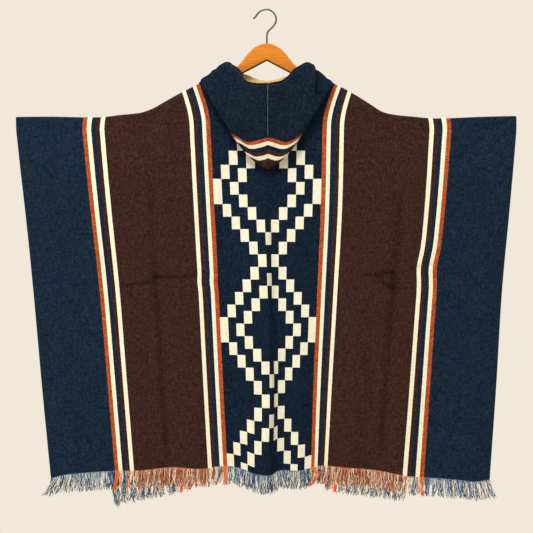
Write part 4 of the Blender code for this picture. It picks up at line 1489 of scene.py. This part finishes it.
def hem_spots(columns, step):
    """Points along a hem at even steps of cloth, each with its place on the web."""
    spots = []
    for (place, point), (next_place, next_point) in zip(columns, columns[1:]):
        count = max(1, round((next_place - place) / step))
        for i in range(count):
            share = i / count
            spots.append((partway(place, next_place, share), point.lerp(next_point, share)))
    return spots + [columns[-1]]


def corner_splay(place):
    left, right = LEFT_SPLAY, RIGHT_SPLAY
    return (right.lean * rise_from(place, right.start, right.reach)
            - left.lean * rise_from(-place, left.start, left.reach))


def either_way(draw, most):
    return draw.uniform(-most, most)


# What the tree needs to know of each point: the root of an end, or a point of the cord.
Point = namedtuple("Point", "place yarn root lean bend phase short")
# A fringe's length, how far its corners splay, its orange locks that lean and bend to a side of
# their own, its share of pale ends, and how light it is beside its yarn, which on the front is
# painted light against the shade it hangs in.
Fringe = namedtuple("Fringe", "name node length splay locks pales tone seed")
Lock = namedtuple("Lock", "place lean bend")


def fringe_points(plan, columns):
    """The roots of the ends along a hem, then the points of its cord."""
    draw = random.Random(plan.seed)
    points = []
    lock_lean = lock_depth = 0.0
    for index, (place, point) in enumerate(hem_spots(columns, END_STEP)):
        if index % LOCK_ENDS == 0:
            lock_lean = either_way(draw, LOCK_LEAN[0])
            lock_depth = either_way(draw, LOCK_LEAN[1])
        to_side = lock_lean + either_way(draw, END_LEAN[0])
        to_side += plan.splay * corner_splay(place) * draw.uniform(*SPLAY_SHARES)
        lean = Vector((to_side, lock_depth + either_way(draw, END_LEAN[1]), 0.0))
        bend = Vector((either_way(draw, END_BEND[0]), either_way(draw, END_BEND[1]), 0.0))
        short = draw.uniform(*END_SHORT)
        if stripe_name(place) == "rust":
            to_side = either_way(draw, ORANGE_LEAN) + ORANGE_DRAW * (stripe_middle(place) - place)
            lean = Vector((to_side, draw.uniform(*ORANGE_DEPTHS) + ORANGE_FORWARD, 0.0))
            bend = Vector((either_way(draw, ORANGE_BEND[0]), ORANGE_BEND[1], 0.0))
            short = draw.uniform(*ORANGE_SHORT)
            for lock in plan.locks:
                if abs(place - lock.place) < RUST_STRIPE:
                    lean.x += lock.lean
                    bend.x += lock.bend
        spot = point + Vector((0.0, either_way(draw, ROOT_STRAY), -BELOW_HEM))
        # Each end's yarn times its fringe's tone; on the front that is painted light
        yarn = [min(1.0, plan.tone * v) for v in end_colour(place, plan.pales, draw)]
        points.append(Point(spot, yarn, 1.0, lean, bend, draw.uniform(*PHASES), short))
    for place, point in hem_spots(columns, CORD_STEP):
        points.append(Point(point + Vector((0.0, 0.0, -BELOW_HEM)), CORD_TONES[stripe_name(place)],
                            0.0, Vector(), Vector(), 0.0, 0.0))
    return points


def fringe_guide(plan, columns):
    """A mesh of those points, joined along the cord, with what the tree reads as its attributes."""
    points = fringe_points(plan, columns)
    mesh = bpy.data.meshes.new(plan.name + " roots")
    first = next(index for index, point in enumerate(points) if not point.root)
    edges = [(i, i + 1) for i in range(first, len(points) - 1)]
    mesh.from_pydata([point.place * MM for point in points], edges, [])

    def add_layer(label, kind, field, values):
        mesh.attributes.new(label, kind, "POINT").data.foreach_set(field, values)

    for label in ("root", "phase", "short"):
        add_layer(label, "FLOAT", "value", [getattr(point, label) for point in points])
    for label in ("lean", "bend"):
        add_layer(label, "FLOAT_VECTOR", "vector",
                  [axis for point in points for axis in getattr(point, label) * MM])
    add_layer("yarn", "FLOAT_COLOR", "color", [v for point in points for v in solid(point.yarn)])
    return mesh


# The back is the one whose corners show, and the front hangs in its shade, with its ends painted
# lighter against that shade.
FRINGES = (
    Fringe("back_fringe_ends", "back_fringe", 46.0, 1.0,
           (Lock(148.0, -7.0, 14.0), Lock(-460.0, -7.0, 1.0), Lock(460.0, 2.0, 0.0)),
           0.39, 0.91, 11),
    Fringe("front_fringe_ends", "front_fringe", 50.0, 0.0, (), 0.5, 1.4, 23),
)
fringe_maker = fringe_tree()
fringe_wool = fringe_finish()
for plan, hem_points in zip(FRINGES, (back_points, front_points)):
    hem_columns = [(place, column[-1][0]) for place, column in zip(web_places, hem_points)]
    fringe = grow(plan.name, fringe_guide(plan, hem_columns), fringe_maker,
                  END_SIZES | {"Length": plan.length},
                  {"Points": END_POINTS, "Material": fringe_wool})
    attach(fringe, "root")
    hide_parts(plan.node)

# ---------------------------------------------------------------- studio
# A pale floor well below the fringe, an even pale surround and three soft lamps.
PAPER = srgb(241, 232, 217)
FLOOR_HEIGHT = -1.75      # metres, as are the places and sizes below
FLOOR_RADIUS = 2.4
DAYLIGHT = (1.0, 0.98, 0.95)
CAMERA_PLACE = (-0.001, -4.542, -0.653)
CAMERA_LENS = 120.0       # millimetres, as is the width of its film
CAMERA_FILM = 36.0
Lamp = namedtuple("Lamp", "name place target size power colour")
LAMPS = (
    Lamp("key lamp", (-0.8, -3.52, 3.98), (0.0, 0.0, -0.5), 1.92, 384.0, (1.0, 0.98, 0.96)),
    Lamp("fill lamp", (-2.5, -2.4, 0.4), (0.0, 0.0, -0.6), 1.6, 30.0, DAYLIGHT),
    Lamp("rear lamp", (1.6, 3.0, 1.8), (0.0, 0.0, -0.6), 2.0, 160.0, DAYLIGHT),
)
scene = bpy.context.scene
scene.view_settings.view_transform = "Standard"
world = bpy.data.worlds.new("pale studio")
world.use_nodes = True
world.node_tree.nodes["Background"].inputs["Color"].default_value = solid(PAPER)
world.node_tree.nodes["Background"].inputs["Strength"].default_value = 1.0
scene.world = world

floor_mesh = bpy.data.meshes.new("studio_floor")
floor_bm = bmesh.new()
bmesh.ops.create_circle(floor_bm, cap_ends=True, segments=96, radius=FLOOR_RADIUS)
bmesh.ops.translate(floor_bm, verts=floor_bm.verts, vec=(0.0, 0.0, FLOOR_HEIGHT))
floor_bm.to_mesh(floor_mesh)
floor_bm.free()
floor_finish, _, floor_shader = new_finish("pale floor", 0.9)
floor_shader.inputs["Base Color"].default_value = solid(srgb(236, 227, 212))
add_piece("studio_floor", floor_mesh, floor_finish)


def add_lamp(lamp):
    """A round soft lamp turned to its target."""
    light = bpy.data.lights.new(lamp.name, "AREA")
    light.shape = "DISK"
    light.size = lamp.size
    light.energy = lamp.power
    light.color = lamp.colour
    holder = bpy.data.objects.new(lamp.name, light)
    holder.location = lamp.place
    way = Vector(lamp.target) - Vector(lamp.place)
    holder.rotation_euler = way.to_track_quat("-Z", "Y").to_euler()
    scene.collection.objects.link(holder)


for lamp in LAMPS:
    add_lamp(lamp)

camera_data = bpy.data.cameras.new("camera")
camera_data.lens = CAMERA_LENS
camera_data.sensor_width = CAMERA_FILM
camera = bpy.data.objects.new("camera", camera_data)
camera.location = CAMERA_PLACE
camera.rotation_euler = (math.pi / 2, 0.0, 0.0)
scene.collection.objects.link(camera)
scene.camera = camera
